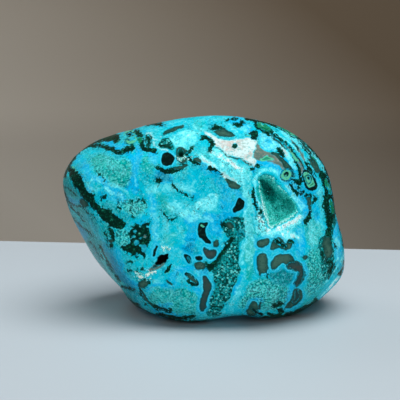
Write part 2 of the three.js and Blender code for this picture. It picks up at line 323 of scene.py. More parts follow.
 ('lum',.9,2,'line',[(244,166,.8),(243.2,180,.8),(243.2,196,.9),(244,212,1),(246,226,1),(246.4,238,.9),(244.4,250,.8)]),
 ('lum',.75,2,'line',[(251.4,178,.6),(251.8,194,.7),(253,208,.8),(255.4,222,.9),(258,233,.8)]),
 ('hue',-1,2.6,'line',[(254.6,236,.9),(256,246,1.1),(255.6,258,1),(255,268,.8)]),
 ('lum',.4,3,'line',[(246.4,250,.7),(246,262,.9),(245,272,1.1),(241,283,1.3),(237,293,1.3),(233,303,1.2),(231,311,1)]),
 # right edge: azure wedge, pale lip, pale grains, and a painted highlight along the lower right edge
 ('hue',-.9,4,'poly',[(334,214),(338,222),(340,232),(339,240),(333,240),(331.6,230)]),
 ('lum',.35,3,'line',[(335,218,1),(336,226,1.6),(336,234,1.2)]),
 ('lum',1,2,'line',[(334.6,204,.5),(336,210,.7),(338,217,.6)]),
 ('hue',-.8,3,'poly',[(334,240),(340,238),(341,250),(339,262),(335,264),(334,252)]),
 ('lum',.7,3,'line',[(336,241,1.6),(337.6,249,2),(336.6,258,1.8)]),
 # painted highlight: pale strips along the lower right edge stand in for its edge highlight
 ('lum',.9,2.4,'line',[(344,254,.5),(341,262,.9),(336,269,1),(331,275,.9),(325,283,.7)]),
 ('lum',1.3,2,'line',[(345.4,262,.5),(342,271,.8),(336,280,.9),(329,288,.7),(321,296,.4)]),
 ('hue',.55,8,'poly',[(300,285),(322,279),(330,276),(324,288),(314,300),(304,306),(296,310)]),
 ('lum',.9,2.2,'line',[(272,130.6,.6),(279,135.4,.9),(287,140.6,1),(294,146.6,.9),(300,152.6,.8),(306,159.6,.7)]),
 ('lum',.8,2.2,'line',[(298,139.6,.6),(306,146,.8),(313,153.6,.8),(319,161.6,.7),(324,170,.5)]),
 ('lum',1.2,2.4,'line',[(279.6,144,.6),(283,148.6,1),(286.6,154,1.2),(289.6,159.6,.8)]),
 ('hue',1,2.4,'line',[(257.4,187,1),(258.4,195,1.3),(260.6,204,1.1)]),
 ('lum',-.25,2.4,'line',[(257.4,187,.8),(258.4,195,1.1),(260.6,204,.9)]),
 ('lum',1.1,2,'line',[(254.8,182,.6),(255.6,192,.6),(257.4,201,.8),(260,208,.8)]),
 # left face: veils of grey green and blue
 ('lum',-.3,4,'line',[(64,188,1.4),(70,196,1.8),(78,204,1.8),(86,214,1.6)]),
 ('lum',.35,3,'line',[(70,206,1.2),(76,216,1.4),(84,226,1.2)]),
 ('lum',-.4,3,'line',[(82,232,1.4),(90,244,1.8),(98,256,1.4)]),
 ('hue',.1,4,'line',[(88,216,2),(94,226,2.4),(98,238,2)]),
 ('lum',.3,3,'line',[(90,222,1),(95,232,1.2),(99,240,1)]),
]
# gran: how grainy (0..1);  mott: black, teal and pale grains (0..1)
GRAIN = [
 ('gran',1,4,'poly',[(85,158),(88,152),(95,152),(103,153),(110,155),(114,158),(118,158),(124,156),(130,158),(131,165),(131,172),(131,186),(126,190),(121,189),(118,185),(113,183),(108,180),(103,176),(99,174),(96,170),(91,166),(87,163)]),
 ('gran',1.5,5,'poly',[(116,202),(120,199),(128,200),(135,199),(146,200),(148,206),(145,211),(140,214),(136,218),(131,217),(128,212),(122,210),(116,208)]),
 ('gran',.8,5,'poly',[(144,132),(156,131),(162,136),(170,144),(172,150),(158,150),(146,146)]),
 ('gran',.6,6,'poly',[(212,128),(224,127),(232,130),(233,138),(222,138),(214,134)]),
 ('gran',.6,6,'poly',[(210,150),(218,150),(228,158),(236,164),(228,168),(216,162)]),
 ('gran',.9,5,'poly',[(150,290),(156,287),(165,289),(175,290),(185,289),(195,291),(201,296),(201,303),(197,310),(188,313),(177,312),(165,309),(156,306),(150,302)]),
 ('gran',1.5,6,'poly',[(306,250),(318,244),(324,256),(330,266),(326,278),(320,290),(312,298),(304,294),(306,280),(308,266)]),
 ('gran',1.5,6,'poly',[(246,284),(262,279),(278,284),(290,290),(290,302),(278,309),(264,310),(250,312),(236,308)]),
 ('gran',.7,5,'poly',[(306,222),(313,219),(320,222),(321,232),(320,244),(314,248),(308,246),(306,236)]),
 ('gran',1.5,6,'poly',[(115,230),(120,228),(127,229),(131,233),(131,242),(128,246),(121,248),(116,244)]),
 ('gran',.5,8,'poly',[(66,200),(84,204),(96,220),(100,240),(92,250),(78,230)]),
 ('gran',.6,4,'line',[(171,216,3),(168,224,3),(164,234,2.4),(163,244,2.4),(165,250,3)]),
 ('gran',.45,6,'line',[(140,162,5),(150,168,6),(146,178,5)]),
 ('gran',.8,4,'poly',[(290,184),(296,182),(303,188),(303,194),(298,196),(292,192)]),
 ('gran',.6,4,'poly',[(305,158),(313,160),(319,168),(318,172),(310,168)]),
 ('mott',1,4,'poly',[(232,238),(238,238),(241,250),(240,262),(239,272),(235,281),(231,291),(226,300),(224,310),(219,317),(210,318),(206,313),(208,305),(210,295),(214,287),(214,280),(212,272),(216,264),(220,256),(226,246)]),
 ('mott',.55,5,'poly',[(226,222),(236,216),(243,218),(244,236),(238,240),(230,236)]),
 ('mott',.6,4,'poly',[(130,228),(138,222),(148,226),(148,232),(148,242),(142,250),(132,246)]),
 ('mott',.35,4,'poly',[(183,150),(190,151),(190,160),(184,163)]),
 ('mott',.5,3,'line',[(112,230,1.4),(113,236,1.6),(113,243,1.6),(109,247,2)]),
 ('mott',.6,3,'poly',[(326,214),(335,204),(337,222),(333,236),(328,240)]),
 ('mott',.5,4,'poly',[(122,138),(127,138),(134,139),(134,146),(128,146),(122,144)]),
 ('mott',1,4,'poly',[(157,140.6),(161,138),(166,138),(171,143),(175,149),(168,150.6),(160,148)]),
 ('mott',.7,4,'poly',[(68,170),(78,172),(84,182),(82,190),(74,184),(68,177)]),
 ('mott',.55,5,'poly',[(222,218),(236,216),(246,217),(245,238),(240,243),(228,240),(222,230)]),
 ('mott',.6,5,'line',[(204,262,2),(208,266,3),(212,270,3)]),
 ('mott',.8,4,'poly',[(319,237),(329,233),(334,240),(333,252),(332,262),(334,268),(328,280),(322,278),(319,264),(318,248)]),
 ('mott',.5,4,'poly',[(256,120),(266,124),(274,132),(268,134),(258,130)]),
 ('gran',.8,6,'poly',[(62,180),(70,186),(80,198),(92,212),(100,230),(104,250),(98,254),(84,240),(72,218),(64,200)]),
 ('gran',1.5,6,'line',[(224,246,4),(232,260,6),(228,280,7),(220,298,6)]),
 ('gran',1.6,5,'poly',[(256,209),(266,214),(268,228),(262,234),(256,226)]),
 ('gran',.6,6,'line',[(312,230,4),(318,246,5),(324,262,5)]),
]
# hard bodies: D black-green malachite, M deep green and G pale green malachite, K smooth dark,
# C grey-green, N brown-grey and T taupe chalcedony, Q white quartz, B blue islands
HARD = [
 ('K','oval',(130.6,133.4,5.6,3.4,-6)),
 ('G','oval',(130.6,133.2,4.5,2.5,-6)),
 ('K','oval',(130.8,133.2,2.4,1.1,0)),
 ('G','line',[(127,140,.8),(131,143,1.1),(135,141,.9)]),
 ('C','poly',[(144.5,135.6),(148,134),(151.6,135.6),(152,141),(150.4,147),(147,147.4),(145,142)]),
 ('Q','line',[(149.6,132.6,.4),(152.6,136.4,.6),(154.4,139.6,.6),(158.4,139.4,.5),(160.4,136.4,.3)]),
 ('Q','line',[(154,139.6,.6),(153,143,.5),(155.4,147,.55),(161,149.4,.5),(168,149.8,.35)]),
 ('Q','line',[(146.4,133.6,.4),(149,132.4,.5),(152,133,.3)]),
 ('G','line',[(72,168,2),(75,172,2),(70,176,1.5)]),
 ('D','poly',[(101,139),(106,136),(112,134),(118,134),(119,137),(118,141),(115,142),(112,140),(107,140),(103,141)]),
 ('D','line',[(64,176,.6),(66,172,.8),(70,163,.9),(75,156,.9),(80,150.5,.7),(88,145.5,.7),(96,142,.9),(102,139,1)]),
 ('D','line',[(66,165,1.2),(69,160,1.4),(68,168,1.4),(72,171,1.6)]),
 ('D','line',[(89,146,.6),(96,145,.7),(103,146,1),(108,148,1.4),(113,149.5,1.6)]),
 ('D','line',[(113,150,1.3),(118,153,1.7),(122,152,1.6),(126,149.5,1.7),(130,148.5,2),(132,148,1.7)]),
 ('D','line',[(132,131,.8),(138,132,1.3),(140.5,136,1.7),(142,141,1.6),(142.5,146,1.4),(145,150,1.7),(150,150,1.5),(155,151.5,1.6)]),
 ('D','oval',(130,134.6,3,1.4,0)),
 ('M','oval',(139.6,140,2.6,2.4,0)),
 ('G','line',[(123.6,134.6,.4),(126,131.6,.7),(131,130.6,.8),(135,132.6,.7),(134,136,.5),(130,137.4,.6),(126,137,.5),(123.8,135,.4)]),
 ('K','oval',(129,134.2,2.7,1.3,0)),
 ('G','line',[(126,141,.5),(130,143.4,.9),(134,142,.7)]),
 ('G','line',[(135,137,.4),(137.4,139,.8),(136,142,.5)]),
 ('D','line',[(147,124.4,.4),(153,124,.8),(159,124,.8),(163,124.8,.4)]),
 ('D','line',[(160,145,.9),(165,146,1.2),(169,147,.9)]),
 ('D','line',[(147,137,.8),(149,141,1.2),(148,144,.9)]),
 ('C','line',[(164,134,1.2),(170,131,1.5),(176,128.5,1.7),(183,126,1.3)]),
 ('K','oval',(167.3,158.8,6.7,6.9,0),'h'),
 ('D','line',[(158,168,1.3),(162,170,1.5),(166,171,2.2),(169,172,2.3),(173,170.5,2),(178,169.5,1.5),(183,166,1)]),
 ('C','line',[(174,168,1),(180,167,1.6),(186,165,1.2)]),
 ('C','poly',[(176,148.6),(182,147.4),(187,150),(188.6,156),(187,162),(181,163.4),(176.6,160.6),(175,154)]),
 ('K','oval',(180.4,153,3.4,3.8,0)),
 ('D','line',[(186,155,.6),(190,151.5,.6),(193,147.5,.4)]),
 ('C','oval',(196.5,161,4.2,3.2,0)),
 ('D','line',[(188,157,.4),(191,160,.6),(194,163,.7),(198,164,.6)]),
 ('D','line',[(158,180,1.6),(161,180.5,1.2)]),
 ('D','line',[(171,183,.35),(175,188,.6),(180,192,.7),(186,194.5,.7),(192,198,.35)],'b'),
 ('D','line',[(161,209.5,.5),(162.5,213,.7),(166,216,.6),(169,219,.7),(172,220,.4),(175,219,.6)],'b'),
 ('D','poly',[(69,171),(76,172),(80,175),(83,180),(84,188),(86,192),(89,194),(94,195),(93,199),(97,204),(102,209),(108,210),(113,214),(118,217),(123,221),(126,226),(121,229),(112,228),(106,222),(101,218),(98,212),(93,209),(88,203),(82,197),(79,191),(75,185),(71,178)]),
 ('D','poly',[(100,196),(107,195),(105.5,199.5),(102,199)]),
 ('D','line',[(96,171.4,.4),(99,174.6,.5),(103,178,.2),(107,181,.6),(110,182.4,.3)],'b'),
 ('D','line',[(63,190,.5),(66,197,.8),(70,203,.6),(77,207,.6),(84,205,.7)],'b'),
 ('C','poly',[(79,199),(85,200),(90,205),(86,208),(80,204)]),
 ('D','line',[(118,203,.5),(117,208,.5),(121,209.5,.4)],'b'),
 ('D','line',[(131,201,.6),(134,200.6,.3),(140,200,.7),(144,200.6,.5),(147,205,.4)],'b'),
 ('D','line',[(131,210,.5),(133,213,.3),(132,216,.5)],'b'),
 # top middle
 ('C','poly',[(210,129.5),(214,127),(220,126),(225,129),(232,132),(236,137),(224,137),(214,133)]),
 ('D','line',[(212,129,.9),(216,127.6,1.2),(220,127.4,1.2)]),
 ('D','poly',[(233,123),(238,122),(245,121),(243,124.5),(239,127),(235,125.5)]),
 ('D','line',[(226,119.6,.4),(233,119.2,.7),(238,119,.4)],'b'),
 ('Q','poly',[(203,131),(209,133),(214,135.5),(220,138.5),(228,140),(236,139),(244,137.6),(251,138),(255,142),(256.4,146),(255,150),(252.6,153),(252.4,158),(255,164),(255,167.5),(251,166),(247,162.4),(243,160),(238,157.4),(232,156),(226,154),(221,150.4),(216,147),(212,143),(208,138)]),
 ('D','poly',[(232.6,144.2),(236,144.6),(236.6,147),(234,147.4)]),
 ('D','line',[(202.4,138,1.6),(206,138,1.6),(210,140.4,1.7),(213,143.6,1.7),(210.6,147,.9),(210.4,150,.6)]),
 ('C','line',[(216,148.4,.4),(222,150.8,.5),(228,156,.6),(236,158.8,.6),(242,158.6,.6),(247,163,.8),(251,164.6,.8)]),
 ('Q','line',[(200,157.6,.7),(206,161.6,.9),(212,164.6,.8),(218,168.6,.9),(224,173.6,1.1),(229,178,1),(234,181,.7)]),
 ('D','poly',[(208,166.4),(213,166.8),(218,170.6),(222.6,174),(221,175.8),(217,172.6),(213,170),(208.6,169)]),
 ('C','poly',[(225,178),(230,180.6),(238,183.6),(241.4,187),(237,189.4),(231,188.2),(227,184.4)]),
 ('D','poly',[(253.6,119),(258,119),(262,121.4),(267,127),(271,131.6),(274,133.6),(270,135.4),(265,132.4),(260,130.4),(256,128),(254.4,123)]),
 ('M','poly',[(256.4,121.4),(262,121),(267,125),(270.6,129.6),(268.6,131.6),(263,129.4),(258.6,127)]),
 ('G','line',[(259.6,123,.5),(262.6,125.6,.9)]),
 ('D','line',[(246,118.8,.8),(254,119.2,1),(262,121,.9),(270,123.6,1.2),(278,126.2,1.6),(285,129.4,1.8),(291,132.6,2.4),(296,136,1.8),(300,138.8,.6),(307,144.4,.3),(314,151,.3),(321,159,.7),(325.6,167,.9),(328.6,175,1)]),
 ('M','line',[(278,126.6,.6),(285,129.8,1),(291,133,1.7),(295.6,135.8,1.1)]),
 ('G','line',[(290,132.6,.6),(293.6,134.6,.5)]),
 ('D','oval',(253.6,134.8,4.4,3.2,15)),
 ('G','line',[(247,135.6,1),(250,136.4,.8)]),
 ('T','poly',[(250,140),(256,139.4),(259,145),(262,149),(267,152.4),(273,152.4),(277,155),(279.4,160),(280,165),(276,164),(272,162),(266,161),(260,161),(255,160.4),(252.6,156),(254.6,150),(257,146)]),
 ('G','poly',[(259,159.6),(264,156),(268.6,155),(272,157),(276,158),(275,161),(268,160.6),(261,161.4)]),
 ('Q','poly',[(250,157),(254,157.6),(257,161),(255.6,165),(252,163)]),
 ('Q','oval',(252.4,143.6,4.2,4.6,10)),
 ('D','oval',(257.6,166,1.3,1.1,0)),
 ('D','oval',(251.6,168.6,1.2,1.4,0)),
 ('C','line',[(273,152.6,1.6),(278,156,2.6),(282,163,3.2),(288,167.6,2.6),(293,172,2),(294.4,177,1)]),
 ('T','line',[(270,155,1.6),(276,158,2),(280,164,1.9),(284,168,1.3)]),
 ('D','line',[(275,135.6,1),(279,138.6,1),(284,143,.7)]),
 ('D','line',[(279,149,.7),(280.4,152,1),(283,156,1)]),
 ('Q','line',[(281,148,.7),(284.4,152,1.4),(286.6,156,1.2)]),
 ('C','line',[(282,141,.6),(288,147,1.5),(294,155,2.3),(299.6,164,3),(303,173,3.2),(304.4,181,2.4)]),
 ('T','line',[(284,143,.4),(289,148,.9),(293,153,.9)]),
 ('G','line',[(290,150.6,.7),(294,156.4,1.4),(298,162.4,1.2)]),
 ('T','line',[(298.6,163,1.2),(301.6,169,2),(303.4,175,2)]),
 ('C','line',[(270,134,.5),(276,139.4,.8),(282,145,.7),(286,150,.5)]),
 ('T','line',[(291,140,.5),(295,144,1.2),(298.6,148.6,.7)]),
 ('C','line',[(293,142.6,.5),(297,147,1),(299,151,.6)]),
 ('T','line',[(299.6,150,.6),(302,155,1.3),(304.6,160,.8)]),
 ('C','line',[(309,159,1),(312,162,2),(315,167,2),(317,172,1)]),
 ('D','line',[(276,133.6,.4),(281,138,.6),(286,143.6,.5),(292,149.4,.4),(297,156,.3)],'b'),
 ('D','line',[(299,142.6,.3),(305,149,.5),(311,157.6,.5),(316,164,.4)],'b'),
 ('M','line',[(313,157,.5),(317,163,.9),(320,170,.8)]),
 ('C','line',[(310,156,.8),(315,162,1.4),(318.6,169,1.5),(321,176,1.3)]),
 ('C','line',[(300,141,.6),(306,147,1.1),(311,153,.9)]),
 ('D','line',[(306,163,.5),(310,169,.8),(313,176,.6)]),
 ('D','line',[(296.6,163,.3),(299,169,.5),(300.6,175,.6),(302,181,.8)]),
 # eyes
 ('K','oval',(287.4,175.4,7.0,7.0,0),'h'),
 ('C','oval',(286.4,175.2,6.2,6.2,0)),
 ('G','oval',(286.6,174.8,5.0,5.1,0)),
 ('K','oval',(286.4,174.4,2.7,2.8,0)),
 ('G','oval',(285.8,175.4,.9,.8,0)),
 ('K','poly',[(303,170),(306,168.6),(311,171.6),(315.4,178.6),(318.4,186),(315,191),(309,191),(304.6,187),(302.2,179)],'h'),
 ('G','poly',[(303.6,172),(307.4,170.6),(311,174.4),(314,180.4),(315.6,185.8),(311.6,188),(307.4,186.4),(304.4,180)]),
 ('C','oval',(308.6,179,3.4,5.0,-14)),
 ('G','oval',(308.4,179.2,2.5,3.6,-14)),
 ('K','oval',(308.6,178.4,1.5,2.0,-10)),
 ('D','oval',(298.6,183,2.6,1.7,20)),
 ('D','line',[(293,179.6,.7),(296,181,.8)]),
 ('D','line',[(291,184,.6),(292,188,.8),(296,192,.8),(300,194.6,.7),(304,192,.6)]),
 ('D','line',[(297,186,.4),(300,188.6,.5),(301,191.6,.4)],'b'),
 # right edge band
 ('D','poly',[(320,171),(324.6,173.4),(328,177.4),(331,186),(333,196),(334.6,203),(335.6,209),(335,214),(333,219),(331,225),(330.4,232),(329.6,240),(327.4,243),(326.6,236),(327.4,228),(326.4,220),(325,212),(325,203),(325.4,195),(325.8,188),(323.4,181),(320,176)]),
 ('M','line',[(326,180,.8),(328.6,187,1.4),(330,193,1.2)]),
 ('M','line',[(330.6,200,1.2),(332.4,206,1.7),(332.6,212,1.2)]),
 ('G','line',[(327.6,184,.3),(328.8,189,.5)]),
 ('D','line',[(338.4,216,.4),(340,222,.9),(342,230,1.5),(343.4,238,1.4),(344.4,246,.7)]),
 ('M','line',[(341.6,232,.6),(343,239,.7)]),
 ('D','oval',(308.2,196.4,2.6,2.8,0)),
 ('C','line',[(308.6,198,1.7),(309.6,206,1.7),(310.8,213,1.4)]),
 ('D','line',[(311,212,.8),(309.6,218,1.5),(306,222.6,1)]),
 ('D','oval',(315,199.2,1.6,1.3,0)),
 ('D','line',[(313,202,.6),(311,206,.6)],'b'),
 ('D','line',[(252.8,188,.8),(253.6,196,1.5),(255,203,1.2),(257,209,1.1),(257.4,213,.7)],'b'),
 ('D','oval',(261,211.6,1.7,1.9,0),'b'),
 ('K','poly',[(237.4,198),(241,197.4),(244.6,200.4),(244.8,206),(241.8,209.6),(236,212),(232,214),(232.6,208),(236,203)],'h'),
 # lower left
 ('D','line',[(110,229,.9),(113,234,1.1),(113.4,240,1.1),(111,246,.8)]),
 ('C','oval',(111,241,2.4,2,0)),
 ('D','poly',[(130,234),(132,229),(136,225.6),(140,227),(144,228),(149,229),(149,241),(147,247),(146,253),(140,255),(136,250.6),(130,250),(126,247),(131,243)]),
 ('B','oval',(134.6,231,1.5,1.2,0)),
 ('B','oval',(136.4,242.6,2.9,2.6,0)),
 ('B','oval',(144.4,248.6,2.8,3.2,0)),
 ('B','oval',(133.4,236.4,1.6,1.4,0)),
 ('B','oval',(140.8,238.4,1.1,1.2,0)),
 ('B','oval',(141,246,1.2,1,0)),
 ('G','oval',(139.4,233.6,1.2,1.0,0)),
 ('T','oval',(145,236,1.6,1.4,0)),
 ('D','oval',(145.6,225,2.6,1.2,-10)),
 ('D','line',[(134,228,.7),(138,225.6,.9),(139,229,1)]),
 ('D','line',[(124,248,1.4),(129,250.4,1.7),(134,253,1.6),(136,257,.9)]),
 ('D','oval',(144,254.2,2.2,1.9,0)),
 ('K','line',[(153.6,255.4,1.3),(154.6,251,1.7),(156.2,246.6,1.1)],'h'),
 ('T','poly',[(166,260),(164,264.4),(159.6,267.6),(154,270),(149,272),(147,271),(150,268),(153,265),(155.6,262.6),(160,262.6)]),
 ('N','line',[(151,268.4,.6),(155,265.8,1.2),(158.6,264.4,1)]),
 ('K','poly',[(156.4,265.6),(155.2,262),(157,260.6),(156.4,257.6),(159,256.6),(160.4,254.6),(163,255.2),(165.6,253.6),(169,252.8),(168.4,256),(169.2,258.6),(166.4,260),(166,262.8),(162.8,262.4),(160.6,264.8),(158.4,264)]),
 ('G','poly',[(164,269),(168,264.6),(172,264),(172.4,269),(169,273),(164,274)]),
 ('D','line',[(166,271,1),(169.4,268,1.2),(171,265,.8)]),
 ('D','poly',[(139,283.6),(144,281),(149,279),(150.4,282),(147,286.6),(143,288),(139,286.4)]),
 ('G','line',[(142,284.6,1.2),(146,283.6,1)]),
 ('D','line',[(127,270,.5),(131,271.6,.6),(136,272.6,.5),(141,271,.5),(144.6,268,.5)],'b'),
 ('D','line',[(128,263,.3),(131,262,.5),(133,264,.3)],'b'),
 ('D','line',[(122,286,.7),(128,288,.9),(134,290,.6)],'b'),
 ('D','line',[(140,290,.9),(142,295,1.1),(146,300,1.3),(151,305,1.4),(157,308,1.2),(164,308.6,1),(170,310.6,1)]),
 ('D','line',[(157,313.6,.8),(166,316,1.1),(176,318.4,1.3),(186,317.4,1.2),(194,316,.8)]),
 ('K','poly',[(183,255),(187.4,254),(191.6,258.6),(192.2,263.6),(188,264.4),(184.6,260.6)],'h'),
 ('C','line',[(187,258,.8),(189.6,262,1)]),
 ('K','poly',[(194.6,257.4),(198,256.2),(202,257),(203,259.6),(200,261.8),(196,261)],'h'),
 ('C','poly',[(195,263),(205,262),(206,268),(200,270),(194,268)]),
 ('K','line',[(186,273.6,1.8),(190,276.4,3.2),(194.4,280.6,3.2),(196.6,284.4,1.8)],'h'),
 ('C','line',[(188,275.6,1.4),(192,279,2.2),(195,282,1.4)]),
 ('D','line',[(189,281,.7),(193,284.6,.8)]),
 ('C','line',[(167,280,.8),(170,282,1.2),(172,284,.8)]),
 # centre low
 ('K','poly',[(198.6,222.4),(203,221.6),(208,222),(205.6,228),(205.6,233.6),(208,238.6),(212,241.6),(211.4,245),(206.6,243.6),(202.6,239.6),(198,237.4),(197.6,230)],'h'),
 ('G','line',[(201.6,224.6,1.3),(203.6,226.6,1)]),
 ('D','line',[(222.6,224.4,1.1),(226,227,1.3)]),
 ('C','oval',(229.6,226,3.4,3.2,0)),
 ('C','poly',[(213.6,240),(219,240.6),(219,247),(214.4,247)]),
 ('D','line',[(232,239,1.6),(228.6,243.6,1.5),(225,248.6,1.2),(221.6,253.6,1),(218.6,258,1.2),(215,262,1)]),
 ('N','poly',[(203,247.6),(206,247.6),(210,250),(214,248.6),(216.6,251),(215.4,255.4),(212,259.4),(208,259),(205,255.4),(203,251.4)],'h'),
 ('D','poly',[(206,266),(209,264),(213,262.6),(216.6,261.6),(214.4,266.4),(211,270.4),(208,269.4)]),
 ('N','poly',[(202,276.6),(205,275),(209,279),(212,283),(212.4,288),(209.6,294),(207.4,300),(206.4,308),(204,312),(200,311.6),(199,305),(200,298),(203,291),(204,284)],'h'),
 # lower right chalcedony
 ('C','poly',[(257,241),(262,239),(269,237.6),(269.4,242),(265.4,247),(260,248.4),(257,246)],'h'),
 ('C','poly',[(258,257),(261,253.4),(265,253.6),(268,259),(268.4,268),(266,272.4),(261,273.6),(258,271),(257,264)],'h'),
 ('C','line',[(260,273,1),(259,277.4,.6)]),
 ('D','line',[(267,272,.8),(267.4,278,.8)],'b'),
 ('C','poly',[(271,266),(272,261),(276,257),(281,254),(288,253.8),(292,256),(294.4,260),(299,262),(303,266),(305.4,272),(304.4,278),(301,284.4),(296,287.6),(293,285),(295,281),(298,276),(298,271.4),(292,270.6),(287,268.6),(286.6,264.4),(283,263.4),(279,266.4),(274,270.4),(271,269)],'h'),
 ('N','poly',[(287.6,263.4),(292,261),(298,262.4),(302.6,266.6),(304.6,272),(303.6,278),(300.6,283.4),(296.4,286.6),(294,285),(296,281),(299,276),(298.6,271),(293,269.6),(288,267.6)]),
 ('C','poly',[(293,290),(298,288),(302,291),(302.4,298),(299,303.4),(293,307.4),(287,309.4),(284,307),(289,303),(292.4,298)],'h'),
 ('N','line',[(297,291,1.6),(297.6,297,1.8),(294,302,1.4)]),
 ('C','poly',[(272,242.6),(275,238.6),(280,237.6),(283,242),(288,243),(292.4,240.6),(293,243.6),(290.4,249),(284,249.6),(277,248),(270,251.4)],'h'),
 ('D','line',[(276,240,.6),(280,244,.9),(285,246,.7)]),
 ('D','line',[(289,240.6,.8),(292.6,241.6,1)]),
 ('C','oval',(305,257,2.4,2.2,0)),
 ('C','poly',[(249,305),(253,301.6),(257,303.6),(258.4,310),(257,316),(250,316.6),(246,314)],'h'),
 ('N','line',[(260.4,303,1.4),(259.4,308.6,1.5)]),
 ('D','line',[(273,307,.8),(278,305,1),(281.6,303.4,.8)]),
 ('D','poly',[(277,309.4),(281,308.6),(284,311),(280,314.6)]),
 ('D','line',[(268,314,.6),(276,316,.8),(286,316,.7),(292,313,.4)]),
 ('C','poly',[(322,241),(326,237),(330,238),(329.6,244),(332.6,250),(331,256),(327,258.4),(322.6,256),(323.4,249)]),
 ('D','line',[(329,262,.6),(333,264,1),(331,269,.8),(328,272,.5)]),
 ('D','line',[(330,240,.5),(334,243,.7),(336,248,.5)],'b'),
 ('D','line',[(321,252,.4),(324,259,.7),(328,262,.6)]),
 ('N','line',[(323,262,.5),(325,259,.9),(324,255,.5)]),
 ('C','line',[(336,266,.5),(332,272,.8),(328,279,.6)]),
 ('D','line',[(345,262,.5),(342.6,268,.6),(339,274,.5)]),
 # dark band along the foot, painted shade where the stone meets the floor, and rings just above it
 ('D','line',[(112,284,.6),(120,291,.8),(128,300,1),(137,308,1.2)]),
 # painted shade: a black-green band along the bottom edge stands in for the contact shadow under the foot
 ('D','line',[(136,305,.8),(143,311,1.2),(150,315.4,1.6),(160,318.6,1.6),(172,321,1.6),(186,322.6,1.6),(200,323,1.8),(214,322,1.8),(226,320,2),(238,319,2),(250,319,2.2),(262,320,2.6),(274,319.4,2.6),(286,317,2.4),(296,313,2),(306,308,1.4),(316,300,1)]),
 ('K','line',[(160,308.2,.8),(164,308.8,1.3),(168,309.4,.8)],'h'),
 ('C','line',[(143,293,1),(146,299,1.6),(151,305,1.2)]),
 ('C','poly',[(138.6,282),(144,279.6),(148.6,280),(148,285),(143.6,288),(139,286.4)]),
 ('K','line',[(252,309,1),(256,313,1.6),(262,315,1.4)]),
 # hair lines of the left face
 ('D','line',[(62,184,.35),(66,188,.4),(71,190,.35),(76,195,.3)],'b'),
 ('D','line',[(66,200,.3),(72,209,.4),(79,214,.35),(84,222,.3)],'b'),
 ('D','line',[(74,218,.3),(80,226,.4),(86,229,.35),(92,236,.3)],'b'),
 ('D','line',[(84,209,.35),(90,215,.4),(95,219,.35)],'b'),
 ('D','line',[(88,240,.3),(93,245,.4),(97,252,.35),(103,259,.3)],'b'),
 ('D','line',[(100,246,.5),(104,254,.7),(108,263,.7),(113,271,.6),(120,281,.5)],'b'),
 ('D','line',[(78,186,.5),(84,196,.6),(90,205,.6),(97,213,.6)],'b'),
 ('D','line',[(104,232,.4),(108,238,.5),(107,245,.4)],'b'),
]

# ---- distance helpers -----------------------------------------------------------------
FAR = 12.0


def rounded(points, closed, times=2):
    p = np.array(points, float)
    for _ in range(times):
        if closed:
            q = np.roll(p, -1, 0)
            p = np.stack([.75 * p + .25 * q, .25 * p + .75 * q], 1).reshape(-1, p.shape[1])
        elif len(p) > 2:
            a, b = p[:-1], p[1:]
            m = np.stack([.75 * a + .25 * b, .25 * a + .75 * b], 1).reshape(-1, p.shape[1])
            p = np.vstack([p[:1], m[1:-1], p[-1:]])
    return p


def chain_distance(q, chain, closed):
    """distance to a chain of points; an open chain's last column is its half-width"""
    dim = q.shape[1]
    best = np.full(len(q), 1e9)
    n = len(chain)
    for i in range(n if closed else n - 1):
        a, b = chain[i], chain[(i + 1) % n]
        ab = b[:dim] - a[:dim]
        t = np.clip(((q - a[:dim]) @ ab) / (ab @ ab + 1e-12), 0, 1)
        d = np.sqrt((((q - a[:dim]) - t[:, None] * ab) ** 2).sum(1))
        if not closed:
            d = d - (a[dim] + t * (b[dim] - a[dim]))
        best = np.minimum(best, d)
    return best


def inside(q, poly):
    c = np.zeros(len(q), bool)
    n = len(poly)
    for i in range(n):
        (x0, y0), (x1, y1) = poly[i][:2], poly[(i + 1) % n][:2]
        if y0 == y1:
            continue
        m = (q[:, 1] >= y0) != (q[:, 1] >= y1)
        c ^= m & (q[:, 0] < x0 + (q[:, 1] - y0) * (x1 - x0) / (y1 - y0))
    return c


def drawn(q, kind, data):
    """signed distance in drawing units, positive inside"""
    if kind == 'oval':
        cx, cy, rx, ry, deg = data
        t = math.radians(deg)
        dx, dy = q[:, 0] - cx, q[:, 1] - cy
        u, v = dx * math.cos(t) + dy * math.sin(t), -dx * math.sin(t) + dy * math.cos(t)
        k = np.hypot(u / rx, v / ry)
        g = np.hypot(u / rx ** 2, v / ry ** 2) + 1e-9
        return np.clip(np.where(k < .05, min(rx, ry), (1 - k) * k / g), -FAR, FAR)
    p = np.array(data, float)
    reach = FAR + (p[:, 2].max() if p.shape[1] > 2 else 0)
    near = ((q > p[:, :2].min(0) - reach) & (q < p[:, :2].max(0) + reach)).all(1)
    out = np.full(len(q), -FAR)
    if near.any():
        x = q[near]
        if kind == 'poly':
            c = rounded(p, True)
            d = chain_distance(x, c, True)
            s = np.where(inside(x, c), d, -d)
        else:
            s = -chain_distance(x, rounded(p, False), False)
        out[near] = np.maximum(s, -FAR)
    return out


def in_space(q, chain):
    """the same round a chain of points in space, with its half-width last"""
    p = np.array(chain, float)
    reach = FAR * UNIT + p[:, 3].max()
    near = ((q > p[:, :3].min(0) - reach) & (q < p[:, :3].max(0) + reach)).all(1)
    out = np.full(len(q), -FAR)
    if near.any():
        if len(p) == 1:
            s = p[0, 3] - np.sqrt(((q[near] - p[0, :3]) ** 2).sum(1))
        else:
            s = -chain_distance(q[near], rounded(p, False), False)
        out[near] = np.maximum(s / UNIT, -FAR)
    return out


